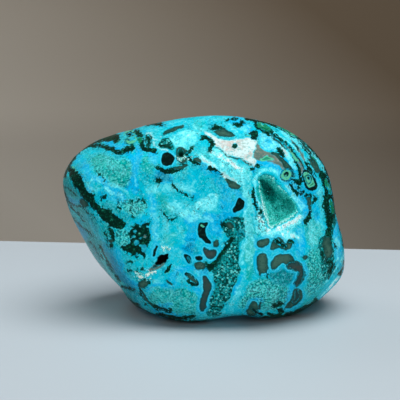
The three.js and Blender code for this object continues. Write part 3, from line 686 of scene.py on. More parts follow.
class Paint:
    KEYS = 'DKGCTQBNM'

    def __init__(self, n):
        self.soft = {k: np.zeros(n) for k in ('hue', 'lum', 'gran', 'mott')}
        self.hard = {k: np.full(n, -FAR) for k in self.KEYS}
        self.halo = np.full(n, -FAR)

    def stroke(self, field, value, softness, s):
        w = smooth(s / softness, -.5, .5)
        self.soft[field] += (value - self.soft[field]) * w

    def body(self, key, s, halo=False):
        for k in self.KEYS:
            if k == key:
                self.hard[k] = np.maximum(self.hard[k], s)
            else:
                self.hard[k] = np.minimum(self.hard[k], -s)
        if halo:
            self.halo = np.maximum(self.halo, s)


# ---- the skin -------------------------------------------------------------------------
def geodesic(n):
    """unit sphere from an icosahedron, each side cut into n"""
    g = (1 + 5 ** 0.5) / 2
    v = np.array([[-1, g, 0], [1, g, 0], [-1, -g, 0], [1, -g, 0], [0, -1, g], [0, 1, g],
                  [0, -1, -g], [0, 1, -g], [g, 0, -1], [g, 0, 1], [-g, 0, -1], [-g, 0, 1]], float)
    v /= np.linalg.norm(v[0])
    f = [[0, 11, 5], [0, 5, 1], [0, 1, 7], [0, 7, 10], [0, 10, 11], [1, 5, 9], [5, 11, 4],
         [11, 10, 2], [10, 7, 6], [7, 1, 8], [3, 9, 4], [3, 4, 2], [3, 2, 6], [3, 6, 8],
         [3, 8, 9], [4, 9, 5], [2, 4, 11], [6, 2, 10], [8, 6, 7], [9, 8, 1]]
    ij = [(i, j) for i in range(n + 1) for j in range(n + 1 - i)]
    index = {p: k for k, p in enumerate(ij)}
    w = np.array([[n - i - j, i, j] for i, j in ij], float) / n
    tri = []
    for i in range(n):
        for j in range(n - i):
            tri.append((index[i, j], index[i + 1, j], index[i, j + 1]))
            if i + j < n - 1:
                tri.append((index[i + 1, j], index[i + 1, j + 1], index[i, j + 1]))
    tri = np.array(tri)
    points, faces = [], []
    for k, corner in enumerate(f):
        points.append(w @ v[corner])
        faces.append(tri + k * len(ij))
    points, faces = np.vstack(points), np.vstack(faces)
    points /= np.linalg.norm(points, axis=1, keepdims=True)
    _, first, back = np.unique(np.round(points, 6), axis=0, return_index=True, return_inverse=True)
    return points[first], back.reshape(-1)[faces]


def vertex_normals(p, f):
    a, b, c = p[f[:, 0]], p[f[:, 1]], p[f[:, 2]]
    fn = np.cross(b - a, c - a)
    n = np.zeros_like(p)
    for k in range(3):
        for ax in range(3):
            n[:, ax] += np.bincount(f[:, k], fn[:, ax], len(p))
    return n / (np.linalg.norm(n, axis=1, keepdims=True) + 1e-12)


DETAIL = 97
ball, tris = geodesic(DETAIL)
stretch = np.array([1.22, 0.96, 1.0])
way = ball * stretch
way /= np.linalg.norm(way, axis=1, keepdims=True)
# more of the points go to the display side
c = way @ TO_FRONT
s = (1 - c) / 2
s = s - 0.22 * s * (1 - s)
c2 = 1 - 2 * s
side = way - c[:, None] * TO_FRONT
side /= np.linalg.norm(side, axis=1, keepdims=True) + 1e-12
way = c2[:, None] * TO_FRONT + np.sqrt(np.maximum(0, 1 - c2 ** 2))[:, None] * side
way /= np.linalg.norm(way, axis=1, keepdims=True)
skin = way * skin_radius(way)[:, None]
skin[:, 2] = np.maximum(skin[:, 2], -HEART_HEIGHT)
out_n = vertex_normals(skin, tris)
if (out_n * skin).sum() < 0:
    tris = tris[:, ::-1]
    out_n = -out_n

to_eye = EYE - skin
to_eye /= np.linalg.norm(to_eye, axis=1, keepdims=True)
facing = (out_n * to_eye).sum(1)
front = smooth(facing + .17 * np.maximum(noise(skin, 7, 301), -.1) + .08 * np.maximum(noise(skin, 2.6, 302), -.2), -.11, -.02)

u, v = to_drawing(skin)
flat = np.stack([u, v], 1)

# ---- the display face, from the drawing ----------------------------------------------
warp = np.stack([
    noise(skin, 1.9, 11) * 1.0 + noise(skin, 0.8, 12) * 0.45,
    noise(skin, 1.9, 13) * 1.0 + noise(skin, 0.8, 14) * 0.45], 1)
seen = facing > -0.38
q = (flat + warp)[seen]
loose = np.stack([
    noise(skin, 3.4, 15) * 2.0 + noise(skin, 1.5, 16) * 1.2,
    noise(skin, 3.4, 17) * 2.0 + noise(skin, 1.5, 18) * 1.2], 1)
q_soft = (flat + loose + warp * .6)[seen]
face = Paint(len(q))
face.soft['hue'] += .45 * cloud(skin[seen], 9, 201)
face.soft['lum'] += .45 * cloud(skin[seen], 5, 203)
face.soft['gran'] += .6 * smooth(cloud(skin[seen], 7, 205), .05, .4)
for field, value, softness, kind, data in SOFT + GRAIN:
    face.stroke(field, value, max(1.6, softness * .62), drawn(q_soft if softness > 2.6 else q, kind, data))
GROW = {'D': 1.0, 'C': .2}
for item in HARD:
    thin = item[0] == 'D' and len(item) > 3 and item[3] == 'b'
    face.body(item[0], drawn(q, item[1], item[2]) + (.3 if thin else GROW.get(item[0], 0)),
              len(item) > 3 and item[3] == 'h')

# ---- the hidden sides, grown by rule --------------------------------------------------
rng = np.random.default_rng(20)
rest = Paint(len(skin))
rest.soft['hue'] += 1.5 * cloud(skin, 15, 211)
rest.soft['lum'] += .9 * cloud(skin, 8, 213)
rest.soft['gran'] += smooth(cloud(skin, 12, 215), .08, .34)
rest.soft['mott'] += .9 * smooth(cloud(skin, 13, 217), .30, .46)
warped = skin + np.stack([noise(skin, 2.4, 31 + k) * .55 + noise(skin, .9, 41 + k) * .22 for k in range(3)], 1)
hidden = np.flatnonzero(facing < 0.05)


def walk(start, steps, stride, turn):
    """a wandering line on the skin"""
    p = skin[start].copy()
    n = out_n[start]
    t = np.cross(n, rng.normal(size=3))
    t /= np.linalg.norm(t)
    line = [p.copy()]
    for _ in range(steps):
        p = p + t * stride
        w = p / np.linalg.norm(p)
        p = w * skin_radius(w[None])[0]
        k = np.argmin(((skin[::7] - p) ** 2).sum(1)) * 7
        n = out_n[k]
        t = t - n * (t @ n)
        t /= np.linalg.norm(t)
        a = rng.normal() * turn
        t = t * math.cos(a) + np.cross(n, t) * math.sin(a)
        line.append(p.copy())
    return np.array(line)


def with_width(line, lo, hi):
    n = len(line)
    w = rng.uniform(lo, hi, n)
    if n > 2:
        w[0] *= .4
        w[-1] *= .4
    return np.hstack([line, w[:, None]])


def spot():
    return hidden[rng.integers(len(hidden))]


for _ in range(46):
    value = rng.choice([-.9, -.6, .5, .8])
    rest.stroke('hue', value, 10, in_space(warped, with_width(walk(spot(), rng.integers(1, 4), 6, .7), 2, 5)))
for _ in range(70):
    value = rng.choice([-.5, -.3, .5, .7, .9])
    rest.stroke('lum', value, rng.uniform(3, 7), in_space(warped, with_width(walk(spot(), rng.integers(1, 5), 4, .8), .5, 2.4)))
for _ in range(34):
    line = with_width(walk(spot(), rng.integers(3, 8), 4.0, .5), .4, 1.4)
    rest.stroke('hue', -1, 4, in_space(warped, line))
    rest.stroke('lum', rng.choice([.4, .8, 1.1]), 3, in_space(warped, line * np.array([1, 1, 1, .5])))
for _ in range(16):
    line = with_width(walk(spot(), rng.integers(1, 3), 5, .8), 2.0, 5.0)
    rest.stroke('hue', .85, 6, in_space(warped, line))
    rest.stroke('gran', rng.uniform(.7, 1), 4, in_space(warped, line))
for _ in range(8):
    rest.stroke('mott', rng.uniform(.8, 1), 4, in_space(warped, with_width(walk(spot(), rng.integers(3, 7), 4, .5), 1.5, 4)))
seams = []
while len(seams) < 4:
    k = spot()
    if all(((skin[k] - skin[o]) ** 2).sum() > 28 ** 2 for o in seams):
        seams.append(k)
for k in seams:
    line = with_width(walk(k, rng.integers(3, 6), 3.4, .5), .5, 1.9)
    rest.stroke('lum', 1.0, 6, in_space(warped, line * np.array([1, 1, 1, 2.0])))
    rest.body('T', in_space(warped, line[:3] + np.array([.8, 0, 0, .6])))
    rest.body('Q', in_space(warped, line))
for _ in range(12):
    start = spot()
    for r in (0, 1, 2):
        near = hidden[np.argsort(((skin[hidden] - skin[start]) ** 2).sum(1))[rng.integers(0, 900)]]
        rest.body(rng.choice(['C', 'C', 'N', 'C']), in_space(warped, with_width(walk(near, rng.integers(1, 5), 2.4, .9), .7, 2.2)), True)
for _ in range(22):
    rest.body('C', in_space(warped, with_width(walk(spot(), rng.integers(1, 4), 2.6, .9), .7, 1.9)), True)
for _ in range(34):
    line = with_width(walk(spot(), rng.integers(3, 9), 3.2, .55), .4, 1.9)
    rest.body('D', in_space(warped, line))
    if rng.random() < .5:
        rest.body('M', in_space(warped, line * np.array([1, 1, 1, .45]) + np.array([.2, .2, 0, 0])))
for _ in range(9):
    rest.body('D', in_space(warped, with_width(walk(spot(), rng.integers(1, 4), 3, .8), 1.6, 3.4)))
for _ in range(18):
    rest.body('K', in_space(warped, with_width(walk(spot(), rng.integers(1, 3), 1.6, .8), .5, 1.6)), True)
for _ in range(16):
    rest.body('G', in_space(warped, with_width(walk(spot(), rng.integers(1, 3), 2.2, .8), .4, 1.0)))
for _ in range(50):
    rest.body('D', in_space(warped, with_width(skin[spot()][None], .3, .9)))
for _ in range(9):
    centre = skin[spot()][None]
    for key, r in (('K', 2.6), ('C', 2.3), ('G', 1.9), ('K', .95)):
        rest.body(key, in_space(warped, np.hstack([centre, [[r]]])), key == 'K' and r > 2)
for _ in range(44):
    rest.body('D', in_space(warped, with_width(walk(spot(), rng.integers(3, 8), 1.8, .8), .08, .24)))

field = {}
for k in rest.soft:
    a = np.zeros(len(skin))
    a[seen] = face.soft[k]
    field[k] = rest.soft[k] + (a - rest.soft[k]) * front
for k in Paint.KEYS:
    a = np.full(len(skin), -FAR)
    a[seen] = face.hard[k]
    field[k] = rest.hard[k] + (a - rest.hard[k]) * front
a = np.full(len(skin), -FAR)
a[seen] = face.halo
field['halo'] = rest.halo + (a - rest.halo) * front

# ---- hollows ---------------------------------------------------------------------------
VUG = [(258.4, 180), (259.6, 176.6), (263, 174.6), (268, 174), (272.4, 175.6), (276, 180.6), (281, 187), (287.6, 193.4),
       (293.6, 200.2), (297, 206.4), (297.8, 212), (293, 217.6), (286.6, 221.8), (279, 225.8), (271, 229.4), (267, 225),
       (264.4, 214), (261.4, 202), (259, 190)]
CREVICE = [(156.4, 265.6), (155.2, 262), (157, 260.6), (156.4, 257.6), (159, 256.6), (160.4, 254.6), (163, 255.2), (165.6, 253.6),
           (169, 252.8), (168.4, 256), (169.2, 258.6), (166.4, 260), (166, 262.8), (162.8, 262.4), (160.6, 264.8), (158.4, 264)]
LEDGE = [(168, 259), (166.4, 264), (161, 267.8), (156, 270.8), (150, 273.6), (145.6, 275), (147, 270.6), (151, 266.6),
         (155, 263), (160, 261)]
sharp = (flat + warp * 0.6)
on_face = facing > 0.1
s_vug = np.where(on_face, drawn(sharp, 'poly', VUG), -FAR)
s_crev = np.where(on_face, drawn(sharp, 'poly', CREVICE), -FAR)
s_ledge = np.where(on_face, drawn(sharp, 'poly', LEDGE), -FAR)
s_pit = np.where(on_face, drawn(sharp, 'oval', (180.4, 153.0, 3.6, 4.0, 0)), -FAR)
crag = cloud(skin, 1.6, 71) * .5 + noise(skin, .7, 72) * .3
vug_depth = 3.7 * smooth(s_vug, -.2, 4.0) + 1.1 * smooth(s_vug, 5, 12)
vug_depth += smooth(s_vug, 0.5, 3) * crag * .7
crev_depth = 3.0 * smooth(s_crev, -.3, 2.4) * (1 + .3 * crag)
crev_depth = np.maximum(crev_depth, .9 * smooth(s_ledge, -.4, 1.6) * (1 + .8 * crag))
pit_depth = 2.4 * smooth(s_pit, -.4, 3.0)
vug_in = -np.average(out_n[s_vug > 3], axis=0)
vug_in /= np.linalg.norm(vug_in)
crev_in = -np.average(out_n[s_crev > 1], axis=0)
crev_in /= np.linalg.norm(crev_in)

relief = cloud(skin, 13.0, 61, 2) * 0.16
relief += field['gran'] * noise(skin, .8, 62) * .035
relief += -0.07 * smooth(np.maximum(field['D'], field['K']), -.6, 1.2) - .10 * field['mott'] * smooth(noise(skin, .9, 63), -.1, .5)
relief += 0.05 * smooth(field['Q'], -.5, 1.0) + .03 * smooth(field['C'], -.5, 1.0)
# small pits, mostly in the black-green malachite and the granular parts
pits = smooth(noise(skin, 1.15, 64), .62, .9) * smooth(np.maximum(field['gran'], field['mott']) + smooth(field['D'], 0, 2), .2, .8)
relief -= .22 * pits
above = smooth(skin[:, 2], -HEART_HEIGHT + .1, -HEART_HEIGHT + 2.5)
point = skin + out_n * (relief * above)[:, None]
point = point + vug_in * vug_depth[:, None] + crev_in * crev_depth[:, None]
point = point - out_n * pit_depth[:, None]
field['cave'] = np.clip(np.maximum.reduce([
    smooth(s_vug, -.6, 1.4), smooth(s_crev, -.4, 1.6), smooth(s_pit, -.4, 1.4)]), 0, 1)
# 'deep' only darkens the hollows' colour in the shader, as painted shade
field['deep'] = np.maximum(np.clip(np.maximum(vug_depth / 5.0, pit_depth / 1.8), 0, 1), 1.6 * smooth(s_crev, -.6, .6))
point[:, 2] = np.maximum(point[:, 2], -HEART_HEIGHT)


def to_part(p):
    w = p + np.array([BOX_SHIFT[0], BOX_SHIFT[1], HEART_HEIGHT])
    return w * 0.001


def new_mesh(name, p, f, attributes=None):
    me = bpy.data.meshes.new(name)
    me.vertices.add(len(p))
    me.vertices.foreach_set('co', np.ascontiguousarray(p, np.float32).ravel())
    me.loops.add(f.size)
    me.loops.foreach_set('vertex_index', np.ascontiguousarray(f, np.int32).ravel())
    me.polygons.add(len(f))
    me.polygons.foreach_set('loop_start', np.arange(0, f.size, f.shape[1], dtype=np.int32))
    me.polygons.foreach_set('loop_total', np.full(len(f), f.shape[1], np.int32))
    me.update(calc_edges=True)
    for key, values in (attributes or {}).items():
        me.attributes.new(key, 'FLOAT', 'POINT').data.foreach_set('value', np.asarray(values, np.float32))
    me.polygons.foreach_set('use_smooth', np.ones(len(f), bool))
    me.validate()
    ob = bpy.data.objects.new(name, me)
    bpy.context.scene.collection.objects.link(ob)
    return ob


stone = new_mesh('polished_stone', to_part(point), tris, {'f_' + k: v for k, v in field.items()})
# ---- druse: small crystals that line the hollows --------------------------------------
crystal_rng = np.random.default_rng(7)
DRUSE_WHITE = [  # where the crystals of the vug are pale, in drawing units
    (.95, [(258, 182, 1.0), (259, 190, 1.2), (261, 200, 1.5), (263.4, 209, 1.9), (265.4, 218, 2.4), (268, 226, 3.0)]),
    (.92, [(268, 230, 2.6), (276, 228.4, 3.4), (285, 224, 3.6), (293, 219, 3.2), (300, 212, 2.6)]),
    (.66, [(259, 177, 1.2), (264, 174, 2.4), (270, 174.6, 3.2), (275, 179.6, 3.4), (281, 186.4, 3.2), (288, 192.8, 2.4), (294.6, 199.6, 2.2), (299, 206, 2.2), (299, 213, 2.4)]),
    (.40, [(264, 175, 4.4), (272, 179, 5.0), (279, 187, 4.2), (285, 193, 3)]),
    (.42, [(266, 202, 1.6), (269, 208, 2.8), (272, 215, 3.0), (274, 222, 2.6)]),
    (.14, [(272, 199, 2), (278, 206, 3), (282, 213, 3)]),
    (.42, [(269, 219, 2.6), (271, 225, 2.6), (277, 221, 2)]),
]
# painted shade: darker crystals along the vug's upper left inner wall
DRUSE_SHADOW = [(261.6, 181, 2.2), (266, 186, 4.2), (270, 193, 4.6), (272.4, 200, 2.6)]


def pick(inside_mask, count):
    """points spread over the faces whose corners are all inside, with their normals"""
    f = tris[inside_mask[tris].all(1)]
    a, b, cc = point[f[:, 0]], point[f[:, 1]], point[f[:, 2]]
    fn = np.cross(b - a, cc - a)
    area = np.linalg.norm(fn, axis=1)
    k = crystal_rng.choice(len(f), count, p=area / area.sum())
    r = crystal_rng.random((count, 2))
    flip = r.sum(1) > 1
    r[flip] = 1 - r[flip]
    p = a[k] + (b - a)[k] * r[:, :1] + (cc - a)[k] * r[:, 1:]
    return p, fn[k] / area[k, None]


def crystals(p, n, radius, height, tilt, tint):
    """hexagonal prisms with six-sided tips, joined in one mesh"""
    m = len(p)
    ax = n + crystal_rng.normal(size=(m, 3)) * tilt
    ax /= np.linalg.norm(ax, axis=1, keepdims=True)
    e1 = np.cross(ax, crystal_rng.normal(size=(m, 3)))
    e1 /= np.linalg.norm(e1, axis=1, keepdims=True)
    e2 = np.cross(ax, e1)
    k = np.arange(6) * math.pi / 3
    ring = e1[:, None] * np.cos(k)[None, :, None] + e2[:, None] * np.sin(k)[None, :, None]
    base = p - ax * (height * .35)[:, None]
    low = base[:, None] + ring * radius[:, None, None]
    shoulder = height * crystal_rng.uniform(.55, .9, m)
    high = low + ax[:, None] * shoulder[:, None, None]
    tip = (base + ax * (height * 1.25)[:, None])[:, None]
    verts = np.concatenate([low, high, tip], 1)
    j = np.arange(6)
    j2 = (j + 1) % 6
    one = np.concatenate([
        np.stack([j, j2, j2 + 6], 1), np.stack([j, j2 + 6, j + 6], 1),
        np.stack([j + 6, j2 + 6, np.full(6, 12)], 1),
        np.array([[0, 5, 4], [0, 4, 3], [0, 3, 2], [0, 2, 1]])])
    faces = (one[None] + (np.arange(m) * 13)[:, None, None]).reshape(-1, 3)
    return verts.reshape(-1, 3), faces, np.repeat(tint, 13)


def gather(sets):
    vs, fs, ts, base = [], [], [], 0
    for vv, ff, tt in sets:
        vs.append(vv); fs.append(ff + base); ts.append(tt); base += len(vv)
    return np.vstack(vs), np.vstack(fs), np.concatenate(ts)


sets = []
# the vug
m = (s_vug > .1) & on_face
p, n = pick(m, 6300)
du, dv = to_drawing(p)
dq = np.stack([du, dv], 1)
white = np.zeros(len(p))
for value, line in DRUSE_WHITE:
    w = smooth(drawn(dq, 'line', line) / 4.0, -.75, .6) * value
    white = np.maximum(white, w)
# painted shade and light: the druse is paler toward the lower and right side of the vug and darker in its upper left,
# besides its own clouded tone
ground_and_shade = .31 + .07 * smooth(dv, 196, 212) + .08 * smooth(du, 266, 288) + .10 * cloud(p, 3.0, 91) + .08 * cloud(p, .9, 92)
ground_and_shade -= .23 * smooth(drawn(dq, 'line', DRUSE_SHADOW) / 4.0, -.8, .6)
tint = np.maximum(ground_and_shade, .02) + crystal_rng.normal(size=len(p)) * .06
tint = tint + (1 - tint) * white * np.clip(crystal_rng.normal(.72, .28, len(p)), 0, 1)
# painted glints: a few crystals, more toward the lower rim, made pale where glints of light would fall
painted_glint = crystal_rng.random(len(p)) < (.012 + .03 * smooth(dv, 196, 214))
tint = np.clip(np.where(painted_glint, np.maximum(tint, .62), tint), 0, 1)
size = crystal_rng.uniform(.09, .21, len(p)) * (1 + .25 * white)
sets.append(crystals(p, n, size, size * crystal_rng.uniform(1.6, 3.2, len(p)), .5, tint))
# the crust on the crevice's ledge and below it, with needles that fan out to the left
CRUST = [(168.6, 260.6, .5), (167, 263.6, .9), (162.6, 267, 1.0), (157.6, 270, 1.0), (152.6, 272.8, 1.1), (147.6, 275.2, 1.2),
         (143.4, 276.8, 1.1), (139, 276, .7)]
ragged_edge = cloud(skin, 1.1, 77) * 2.2
s_crust = np.where(on_face, drawn(flat + warp * .5, 'line', CRUST) + ragged_edge - .5, -FAR)
p, n = pick(s_crust > -.2, 900)
size = crystal_rng.uniform(.06, .19, len(p))
sets.append(crystals(p, n, size, size * crystal_rng.uniform(1.6, 3.2, len(p)), .8,
                     np.clip(crystal_rng.normal(1.0, .34, len(p)), .3, 1.3)))
s_blade = np.full(len(skin), -FAR)
for u0, v0, ang in ((150, 273, 200), (146, 276, 215), (144, 274, 170), (141, 277, 235), (140, 274, 160), (138, 276, 190),
                    (148, 271, 150), (152, 275, 240), (156, 272, 250), (143, 278, 200), (137, 274, 140), (147, 278, 255)):
    t = math.radians(ang)
    blade = [(u0, v0, .7), (u0 + 2.4 * math.cos(t), v0 - 2.4 * math.sin(t), .6), (u0 + 4.8 * math.cos(t), v0 - 4.8 * math.sin(t), .3)]
    s_blade = np.maximum(s_blade, np.where(on_face, drawn(flat + warp * .3, 'line', blade), -FAR))
p, n = pick(s_blade > -.45, 260)
size = crystal_rng.uniform(.05, .11, len(p))
sets.append(crystals(p, n, size, size * crystal_rng.uniform(1.6, 3.0, len(p)), .6,
                     np.clip(crystal_rng.normal(.78, .16, len(p)), 0, 1)))
# round the pit, and the pale granules above the crevice
s_pitrim = np.where(on_face, np.maximum.reduce([
    drawn(flat, 'line', [(184.6, 153, .6), (185, 157.6, 1.8), (181, 160, 2.2), (177.4, 159, 1.4)]),
    drawn(flat, 'line', [(176.4, 149.6, .5), (175.4, 153, .8), (176, 157, .9)]),
    drawn(flat, 'line', [(186, 160, .8), (190, 158.6, .8), (192, 156, .4)])]) + ragged_edge * .7, -FAR)
p, n = pick(s_pitrim > -.2, 210)
size = crystal_rng.uniform(.06, .16, len(p))
sets.append(crystals(p, n, size, size * crystal_rng.uniform(1.4, 2.6, len(p)), .7,
                     np.clip(crystal_rng.normal(.68, .28, len(p)), 0, 1)))
s_gran = np.where(on_face, np.maximum.reduce([
    drawn(flat, 'line', [(170.6, 248.4, .5), (174.4, 249, 1.1), (176, 251.6, .6)]),
    drawn(flat, 'line', [(161.4, 246, .7), (163, 249.6, 1.1), (165, 252, .7)]),
    drawn(flat, 'line', [(165.4, 246, .4), (168, 248, .6), (168.6, 251, .5)])]) + ragged_edge * .9, -FAR)
p, n = pick(s_gran > -.2, 190)
size = crystal_rng.uniform(.06, .15, len(p))
sets.append(crystals(p, n, size, size * crystal_rng.uniform(1.2, 2.2, len(p)), .6,
                     np.clip(crystal_rng.normal(.8, .2, len(p)), 0, 1)))
dv_, df_, dt_ = gather(sets)
druse = new_mesh('druse_crystals', to_part(dv_), df_, {'f_tint': dt_})
druse.data.polygons.foreach_set('use_smooth', np.zeros(len(druse.data.polygons), bool))


# ---- materials --------------------------------------------------------------------------
def srgb(r, g, b):
    def f(x):
        x /= 255.0
        return x / 12.92 if x <= 0.04045 else ((x + 0.055) / 1.055) ** 2.4
    return (f(r), f(g), f(b), 1.0)


class Nodes:
    """short names for the shader nodes used below"""

    def __init__(self, name):
        self.mat = bpy.data.materials.new(name)
        self.mat.use_nodes = True
        self.t = self.mat.node_tree
        self.t.nodes.clear()
        self.out = self.t.nodes.new('ShaderNodeOutputMaterial')
        self.bsdf = self.t.nodes.new('ShaderNodeBsdfPrincipled')
        self.t.links.new(self.bsdf.outputs[0], self.out.inputs[0])
        self.coord = self.t.nodes.new('ShaderNodeTexCoord').outputs['Object']

    def put(self, socket, value):
        if hasattr(value, 'is_linked'):
            self.t.links.new(value, socket)
        else:
            socket.default_value = value

    def math(self, op, a, b=0.0, c=0.0):
        n = self.t.nodes.new('ShaderNodeMath')
        n.operation = op
        self.put(n.inputs[0], a); self.put(n.inputs[1], b); self.put(n.inputs[2], c)
        return n.outputs[0]

    def add(self, *a):
        x = a[0]
        for y in a[1:]:
            x = self.math('ADD', x, y)
        return x

    def mul(self, a, b):
        return self.math('MULTIPLY', a, b)

    def mad(self, a, b, c):
        return self.math('MULTIPLY_ADD', a, b, c)

    def ramp(self, x, lo, hi, a=0.0, b=1.0, soft=True):
        n = self.t.nodes.new('ShaderNodeMapRange')
        n.interpolation_type = 'SMOOTHSTEP' if soft else 'LINEAR'
        n.clamp = True
        self.put(n.inputs['Value'], x)
        n.inputs['From Min'].default_value = lo
        n.inputs['From Max'].default_value = hi
        n.inputs['To Min'].default_value = a
        n.inputs['To Max'].default_value = b
        return n.outputs['Result']

    def mix(self, fac, a, b):
        n = self.t.nodes.new('ShaderNodeMix')
        n.data_type = 'RGBA'
        n.clamp_factor = True
        self.put(n.inputs['Factor'], fac)
        self.put(n.inputs[6], a); self.put(n.inputs[7], b)
        return n.outputs[2]

    def noise(self, size_mm, detail=2.0, rough=0.5, distortion=0.0, vec=None, shift=0.0):
        n = self.t.nodes.new('ShaderNodeTexNoise')
        n.noise_dimensions = '3D'
        n.inputs['Scale'].default_value = 1000.0 / size_mm
        n.inputs['Detail'].default_value = detail
        n.inputs['Roughness'].default_value = rough
        n.inputs['Distortion'].default_value = distortion
        if shift:
            m = self.t.nodes.new('ShaderNodeVectorMath')
            m.operation = 'ADD'
            self.put(m.inputs[0], vec or self.coord)
            m.inputs[1].default_value = (shift, shift * .7, -shift * .4)
            vec = m.outputs[0]
        self.put(n.inputs['Vector'], vec or self.coord)
        return n.outputs['Fac']

    def shifted(self, by):
        m = self.t.nodes.new('ShaderNodeVectorMath')
        m.operation = 'ADD'
        self.put(m.inputs[0], self.coord)
        m.inputs[1].default_value = (by, -by * .6, by * .8)
        return m.outputs[0]

    def cells(self, size_mm, feature='F1', vec=None, rand=1.0):
        n = self.t.nodes.new('ShaderNodeTexVoronoi')
        n.feature = feature
        n.inputs['Scale'].default_value = 1000.0 / size_mm
        n.inputs['Randomness'].default_value = rand
        self.put(n.inputs['Vector'], vec or self.coord)
        return n

    def attr(self, name):
        n = self.t.nodes.new('ShaderNodeAttribute')
        n.attribute_type = 'GEOMETRY'
        n.attribute_name = name
        return n.outputs['Fac']

    def bump(self, height, strength, distance_mm):
        n = self.t.nodes.new('ShaderNodeBump')
        n.inputs['Strength'].default_value = strength
        n.inputs['Distance'].default_value = distance_mm * .001
        self.put(n.inputs['Height'], height)
        return n.outputs['Normal']


def stone_material():
    g = Nodes('chrysocolla_polished')
    A = {k: g.attr('f_' + k) for k in ('hue', 'lum', 'gran', 'mott', 'D', 'K', 'G', 'C', 'T', 'Q', 'B', 'N', 'M', 'halo', 'cave', 'deep')}

    # centred noises, about -1..1
    def nz(size, detail=2.0, rough=.5, dist=0.0, shift=0.0):
        return g.mad(g.noise(size, detail, rough, dist, shift=shift), 3.6, -1.8)
    broad = nz(5.0, 3, .55, .6, .11)
    curl = nz(2.4, 3, .6, 1.2, .23)
    mid = nz(1.1, 3, .6, .4, .37)
    fine = nz(.75, 2, .65, 0, .51)
    grain = nz(.48, 1, .6, 0, .67)

    def ridge(x, width):
        return g.ramp(g.math('ABSOLUTE', x), width, 0)
    # -- the blue ground -----------------------------------------------------------------
    hue = g.add(A['hue'], g.mul(broad, .26), g.mul(curl, .34), g.mul(mid, .22))
    lum = g.add(A['lum'], g.mul(curl, .24), g.mul(mid, .30), g.mul(fine, .34))
    lum = g.mad(g.mul(A['lum'], g.add(curl, mid)), .35, lum)
    colour = g.mix(g.ramp(hue, 0, -1), srgb(0, 190, 210), srgb(0, 176, 224))
    colour = g.mix(g.ramp(hue, 0, 1), colour, srgb(2, 168, 160))
    colour = g.mix(g.ramp(lum, .1, 1.15), colour, srgb(124, 246, 252))
    colour = g.mix(g.ramp(lum, 1.05, 1.75), colour, srgb(232, 252, 250))
    colour = g.mix(g.ramp(lum, -.05, -1), colour, srgb(0, 84, 108))
    # curls: pale and dark threads that wander through the ground
    pale_curl = g.mul(ridge(g.mad(curl, .6, g.mul(broad, .7)), .16), g.ramp(mid, -.5, .5, .1, .6))
    colour = g.mix(pale_curl, colour, srgb(84, 222, 236))
    dark_curl = g.mul(ridge(nz(3.2, 3, .65, .9, .83), .055), g.ramp(nz(6.5, 1, .5, 0, .91), -.1, .5, 0, .75))
    colour = g.mix(dark_curl, colour, srgb(2, 84, 100))
    # -- granular parts: dark and pale grains ---------------------------------------------------
    dots = g.cells(.72).outputs['Distance']
    dots2 = g.cells(.95, vec=g.shifted(.013)).outputs['Distance']
    gr = g.math('MAXIMUM', A['gran'], g.ramp(broad, .35, .9, 0, .45))
    dark_grain = g.mul(g.ramp(g.mad(mid, .22, g.mul(dots, -1)), -.52, -.34), gr)
    dark_grain = g.math('MAXIMUM', dark_grain, g.mul(g.ramp(g.mad(fine, .8, g.mul(grain, .5)), .14, .40), gr))
    pale_grain = g.mul(g.ramp(g.mad(mid, -.22, g.mul(dots2, -1)), -.52, -.28), gr)
    pale_grain = g.math('MAXIMUM', pale_grain, g.mul(g.ramp(g.mad(fine, -.8, g.mul(grain, -.5)), .12, .42), gr))
    colour = g.mix(g.mul(pale_grain, .36), colour, srgb(110, 232, 226))
    colour = g.mix(g.mul(dark_grain, .46), colour, srgb(0, 78, 82))
    # stray dark specks everywhere
    speck = g.mul(g.ramp(g.mad(fine, .7, g.mul(grain, .45)), .26, .52), g.mul(g.ramp(g.add(broad, g.mul(mid, .4)), -.5, .6, .10, .85), g.ramp(hue, -.55, .15, .15, 1)))
    colour = g.mix(speck, colour, srgb(2, 86, 94))
    spark = g.mul(g.ramp(g.mad(fine, -.7, g.mul(grain, -.45)), .24, .55), g.mul(g.ramp(g.add(curl, g.mul(mid, .4)), -.5, .6, .05, .65), g.ramp(hue, -.55, .15, .2, 1)))
    colour = g.mix(spark, colour, srgb(120, 236, 236))
    # -- mottled parts: black ground with teal and pale grains -----------------------------------
    cell = g.cells(.58, vec=g.shifted(.031))
    sep = g.t.nodes.new('ShaderNodeSeparateColor')
    g.put(sep.inputs[0], cell.outputs['Color'])
    pickc, pickd = sep.outputs[0], sep.outputs[1]
    cg = g.mix(g.ramp(pickc, .16, .32), srgb(4, 66, 62), srgb(10, 122, 122))
    cg = g.mix(g.ramp(pickc, .44, .62), cg, srgb(20, 158, 160))
    cg = g.mix(g.ramp(pickc, .80, .94), cg, srgb(96, 208, 204))
    cg = g.mix(g.ramp(cell.outputs['Distance'], .46, .74, 0, .85), cg, srgb(4, 52, 48))
    cg = g.mix(g.ramp(g.add(mid, g.mul(fine, .5), g.mul(curl, .7)), .35, 1.0, 0, .8), cg, srgb(4, 46, 42))
    mm = g.ramp(g.add(A['mott'], g.mul(curl, .18), g.mul(mid, .12)), .25, .55)
    colour = g.mix(mm, colour, cg)
    # -- bright rims round the halo bodies --------------------------------------------------------
    h = g.add(A['halo'], g.mul(curl, .45), g.mul(mid, .35))
    colour = g.mix(g.mul(g.ramp(h, -3.8, -1.8), g.ramp(h, 1.0, -.2, 0, .65)), colour, srgb(0, 180, 218))
    colour = g.mix(g.mul(g.mul(g.ramp(h, -1.8, -1.1), g.ramp(h, -.2, -.8)), g.ramp(broad, -.5, .5, .15, .55)), colour, srgb(84, 220, 238))
    # -- mineral bodies --------------------------------------------------------------------------
    edge = g.add(g.mul(curl, .50), g.mul(mid, .55), g.mul(fine, .40))
    ragged = g.add(g.mul(curl, .9), g.mul(mid, 1.1), g.mul(fine, .9))

    def body(key, amount=1.0, width=.34, form=None):
        return g.ramp(g.add(A[key], g.mul(form or edge, amount)), -width, width)
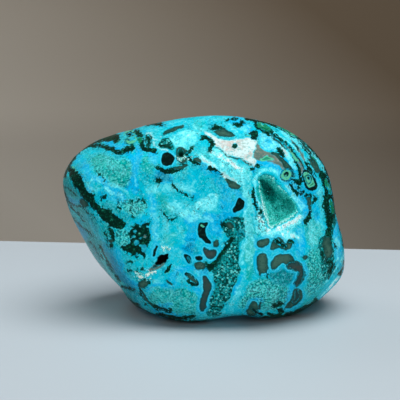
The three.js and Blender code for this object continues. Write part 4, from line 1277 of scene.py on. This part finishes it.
    # the ground darkens and breaks up in grains close to the black malachite
    near = g.mul(g.ramp(A['D'], -5.0, -.3), g.ramp(g.add(mid, g.mul(fine, .9), g.mul(curl, .5)), .0, .65))
    colour = g.mix(g.mul(near, .8), colour, srgb(4, 86, 82))
    near = g.mul(g.ramp(A['C'], -2.6, -.3), g.ramp(g.add(g.mul(mid, -.8), g.mul(fine, .9)), .1, .7))
    colour = g.mix(g.mul(near, .55), colour, srgb(8, 92, 92))
    # chalcedony: dull grey green, darker to the edge
    c = body('C', .55, .55)
    tone = g.add(g.mul(A['C'], .24), g.mul(mid, .30), g.mul(broad, .25), g.mul(fine, .15))
    cc = g.mix(g.ramp(tone, -.2, 1.0), srgb(12, 62, 58), srgb(60, 98, 86))
    cc = g.mix(g.ramp(g.add(curl, mid), .3, 1.3, 0, .6), cc, srgb(72, 116, 100))
    cc = g.mix(g.ramp(g.add(fine, grain), .4, 1.0, 0, .6), cc, srgb(8, 50, 46))
    colour = g.mix(c, colour, cc)
    # malachite, light: banded by distance from its edge
    c = body('G', .5)
    band = g.math('SINE', g.mad(A['G'], 2.6, g.mul(mid, .5)))
    cc = g.mix(g.ramp(band, -.6, .6), srgb(34, 138, 108), srgb(86, 190, 150))
    cc = g.mix(g.ramp(g.add(fine, g.mul(curl, .5)), .2, .9, 0, .75), cc, srgb(8, 78, 56))
    colour = g.mix(c, colour, cc)
    # taupe chalcedony, clouded
    c = g.ramp(g.add(A['T'], g.mul(edge, .7)), -.7, .7)
    cc = g.mix(g.ramp(g.add(broad, curl), -.5, .9), srgb(86, 112, 104), srgb(126, 128, 118))
    cc = g.mix(g.ramp(g.add(mid, g.mul(curl, .6)), .0, .8, 0, .8), cc, srgb(52, 112, 104))
    cc = g.mix(g.ramp(g.add(fine, g.mul(mid, -.6)), .3, .9, 0, .6), cc, srgb(160, 176, 162))
    colour = g.mix(c, colour, cc)
    # quartz: white, pinkish in places, broken by teal and blue
    c = g.ramp(g.add(A['Q'], g.mul(ragged, .9)), -.8, .8)
    cc = g.mix(g.ramp(g.add(broad, g.mul(curl, .8)), -.35, .7), srgb(198, 228, 228), srgb(196, 186, 180))
    cc = g.mix(g.ramp(g.add(mid, g.mul(fine, .7)), .05, .7, 0, .85), cc, srgb(150, 182, 178))
    cc = g.mix(g.ramp(g.add(curl, g.mul(fine, -.7)), .25, .8, 0, .8), cc, srgb(88, 190, 194))
    cc = g.mix(g.ramp(A['Q'], 1.6, -.3, 0, .7), cc, srgb(128, 220, 224))
    colour = g.mix(c, colour, cc)
    # malachite, near black, with a thin green margin
    c = body('D', 1.3, .46, ragged)
    dd = g.add(g.mul(mid, .5), g.mul(fine, .5), g.mul(curl, .35))
    cc = g.mix(g.ramp(dd, .0, .75), srgb(4, 38, 30), srgb(6, 98, 74))
    cc = g.mix(g.ramp(g.add(g.mul(curl, .6), g.mul(fine, .7)), .42, .9, 0, .8), cc, srgb(44, 140, 118))
    cc = g.mix(g.ramp(A['D'], .8, -.4, 0, .8), cc, srgb(4, 62, 56))
    dark_body = c
    colour = g.mix(c, colour, cc)
    # malachite, deep green, in the heart of the dark bands
    c = body('M', .9, .5, ragged)
    cc = g.mix(g.ramp(g.add(mid, g.mul(fine, .5)), -.5, .7), srgb(6, 96, 66), srgb(26, 142, 104))
    cc = g.mix(g.ramp(g.add(g.mul(curl, .6), g.mul(fine, -.8)), .2, .8, 0, .8), cc, srgb(4, 50, 38))
    colour = g.mix(c, colour, cc)
    # smooth dark bodies
    c = body('K', .42, .30)
    cc = g.mix(g.ramp(g.add(g.mul(mid, .5), g.mul(curl, .5), g.mul(fine, .3)), .0, .8), srgb(8, 26, 24), srgb(26, 62, 52))
    cc = g.mix(g.ramp(A['K'], .9, -.2, 0, .7), cc, srgb(6, 66, 66))
    colour = g.mix(c, colour, cc)
    # blue islands in the malachite
    c = body('B', .8, .5)
    colour = g.mix(c, colour, g.mix(g.ramp(mid, -.4, .8), srgb(16, 138, 168), srgb(40, 190, 204)))
    # brown chalcedony
    c = body('N', .8, .55)
    cc = g.mix(g.ramp(g.add(g.mul(A['N'], .35), g.mul(mid, .3)), 0, 1.1), srgb(12, 62, 64), srgb(46, 70, 68))
    cc = g.mix(g.ramp(g.add(curl, g.mul(broad, .6)), .1, .9, 0, .8), cc, srgb(62, 66, 62))
    cc = g.mix(g.ramp(g.add(fine, mid), .3, 1.2, 0, .45), cc, srgb(66, 94, 88))
    colour = g.mix(c, colour, cc)
    # -- hollows ------------------------------------------------------------------------------------
    # painted shade: the hollows' own dark green darkens further with depth, to near black deep in the crevice and the
    # pit
    cave = g.mix(g.ramp(g.add(A['deep'], g.mul(mid, .2)), .1, .8), srgb(20, 130, 116), srgb(2, 44, 38))
    cave = g.mix(g.ramp(A['deep'], 1.05, 1.4), cave, srgb(8, 10, 10))
    colour = g.mix(A['cave'], colour, cave)
    g.put(g.bsdf.inputs['Base Color'], colour)
    rough = g.add(g.mul(A['gran'], .10), g.mul(g.ramp(mid, -.5, .9), .06), g.mul(A['cave'], .35), .24)
    g.put(g.bsdf.inputs['Roughness'], rough)
    g.bsdf.inputs['Specular IOR Level'].default_value = 0.03
    hgt = g.add(g.mul(fine, g.mad(A['gran'], .6, .05)), g.mul(mid, .12), g.mul(dark_body, -.6), g.mul(mm, -.5))
    g.put(g.bsdf.inputs['Normal'], g.bump(hgt, .35, .06))
    return g.mat


def druse_material():
    g = Nodes('druse')
    t = g.attr('f_tint')
    f = g.mad(g.noise(.9, 3, .6), 2.0, -1.0)
    tt = g.mad(f, .10, t)
    colour = g.mix(g.ramp(tt, .0, .34, soft=False), srgb(0, 52, 50), srgb(0, 148, 136))
    colour = g.mix(g.ramp(tt, .34, .62, soft=False), colour, srgb(60, 216, 208))
    colour = g.mix(g.ramp(tt, .62, .95, soft=False), colour, srgb(226, 250, 250))
    colour = g.mix(g.ramp(tt, 1.05, 1.2, soft=False), colour, srgb(238, 232, 212))
    g.put(g.bsdf.inputs['Base Color'], colour)
    g.put(g.bsdf.inputs['Roughness'], g.ramp(f, -.6, .6, .16, .34))
    g.bsdf.inputs['Specular IOR Level'].default_value = 0.18
    return g.mat


stone.data.materials.append(stone_material())
druse.data.materials.append(druse_material())
for piece in (stone, druse):
    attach(piece, 'root')
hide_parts('stone')

# ---- floor, backdrop, light, camera -------------------------------------------------------------
def sheet(name, corners, colour, rough, painted_light_gradient=None):
    me = bpy.data.meshes.new(name)
    me.from_pydata([tuple(p) for p in corners], [], [tuple(range(len(corners)))])
    ob = bpy.data.objects.new(name, me)
    bpy.context.scene.collection.objects.link(ob)
    g = Nodes(name + '_finish')
    if painted_light_gradient:
        sep = g.t.nodes.new('ShaderNodeSeparateXYZ')
        g.put(sep.inputs[0], g.coord)
        k = g.mad(sep.outputs['X'], painted_light_gradient[1], g.mul(sep.outputs['Z'], painted_light_gradient[2]))
        g.put(g.bsdf.inputs['Base Color'], g.mix(g.ramp(k, painted_light_gradient[3], painted_light_gradient[4], soft=False), colour, painted_light_gradient[0]))
    else:
        g.bsdf.inputs['Base Color'].default_value = colour
    g.bsdf.inputs['Roughness'].default_value = rough
    g.bsdf.inputs['Specular IOR Level'].default_value = 0.2
    me.materials.append(g.mat)
    return ob


edge_l, edge_r = np.array([-.0965, .1204]), np.array([.0890, .0996])
along = (edge_r - edge_l) / np.linalg.norm(edge_r - edge_l)
far_l, far_r = edge_l - along * 1.2, edge_r + along * 1.2
floor = sheet('floor', [(far_l[0], far_l[1], 0), (-1.3, -.85, 0), (1.3, -.85, 0), (far_r[0], far_r[1], 0)],
              srgb(184, 195, 202), .55)
# painted light: the backdrop is lighter to the lower left and darker to the upper right
wall = sheet('backdrop', [(-2.2, 1.1, -1.2), (2.2, 1.1, -1.2), (2.2, 1.1, 1.6), (-2.2, 1.1, 1.6)],
             srgb(227, 219, 205), 1.0, (srgb(128, 112, 93), 1.0, 1.3, -.44, .337))


def area(name, where, target, size, power, colour=(1, 1, 1)):
    li = bpy.data.lights.new(name, 'AREA')
    li.shape = 'DISK'
    li.size = size
    li.energy = power
    li.color = colour
    ob = bpy.data.objects.new(name, li)
    bpy.context.scene.collection.objects.link(ob)
    ob.location = where
    d = np.array(target, float) - np.array(where, float)
    from mathutils import Vector
    ob.rotation_mode = 'QUATERNION'
    ob.rotation_quaternion = Vector(d).to_track_quat('-Z', 'Y')
    return ob


key = area('key', (.13, -.12, .82), (0, 0, .03), .85, 8.5)
key.visible_glossy = False
fill = area('fill', (.10, -1.5, 1.0), (0, 0, .04), .9, 4.6, (.98, .99, 1))
fill.visible_glossy = False
low = area('low', (.20, -1.05, .034), (0, 0, .034), .8, 3.8, (.96, .99, 1))
low.data.shape = 'RECTANGLE'
low.data.size_y = .06
low.visible_glossy = False
low.visible_camera = False
back = area('back', (-.75, .50, .50), (0, 0, .02), .8, 2.4, (.98, .98, 1))
back.visible_glossy = False
world = bpy.data.worlds.new('studio')
bpy.context.scene.world = world
world.use_nodes = True
bg = world.node_tree.nodes['Background']
bg.inputs[0].default_value = (.74, .75, .76, 1)
bg.inputs[1].default_value = .05
bpy.context.scene.view_settings.view_transform = 'Standard'

cam_data = bpy.data.cameras.new('camera')
cam_data.lens = 90.0
cam_data.sensor_width = 36.0
cam_data.clip_start, cam_data.clip_end = .01, 20
camera = bpy.data.objects.new('camera', cam_data)
bpy.context.scene.collection.objects.link(camera)
camera.location = (EYE + np.array([BOX_SHIFT[0], BOX_SHIFT[1], HEART_HEIGHT])) * .001
camera.rotation_euler = (math.radians(90) - PITCH, 0, 0)
bpy.context.scene.camera = camera
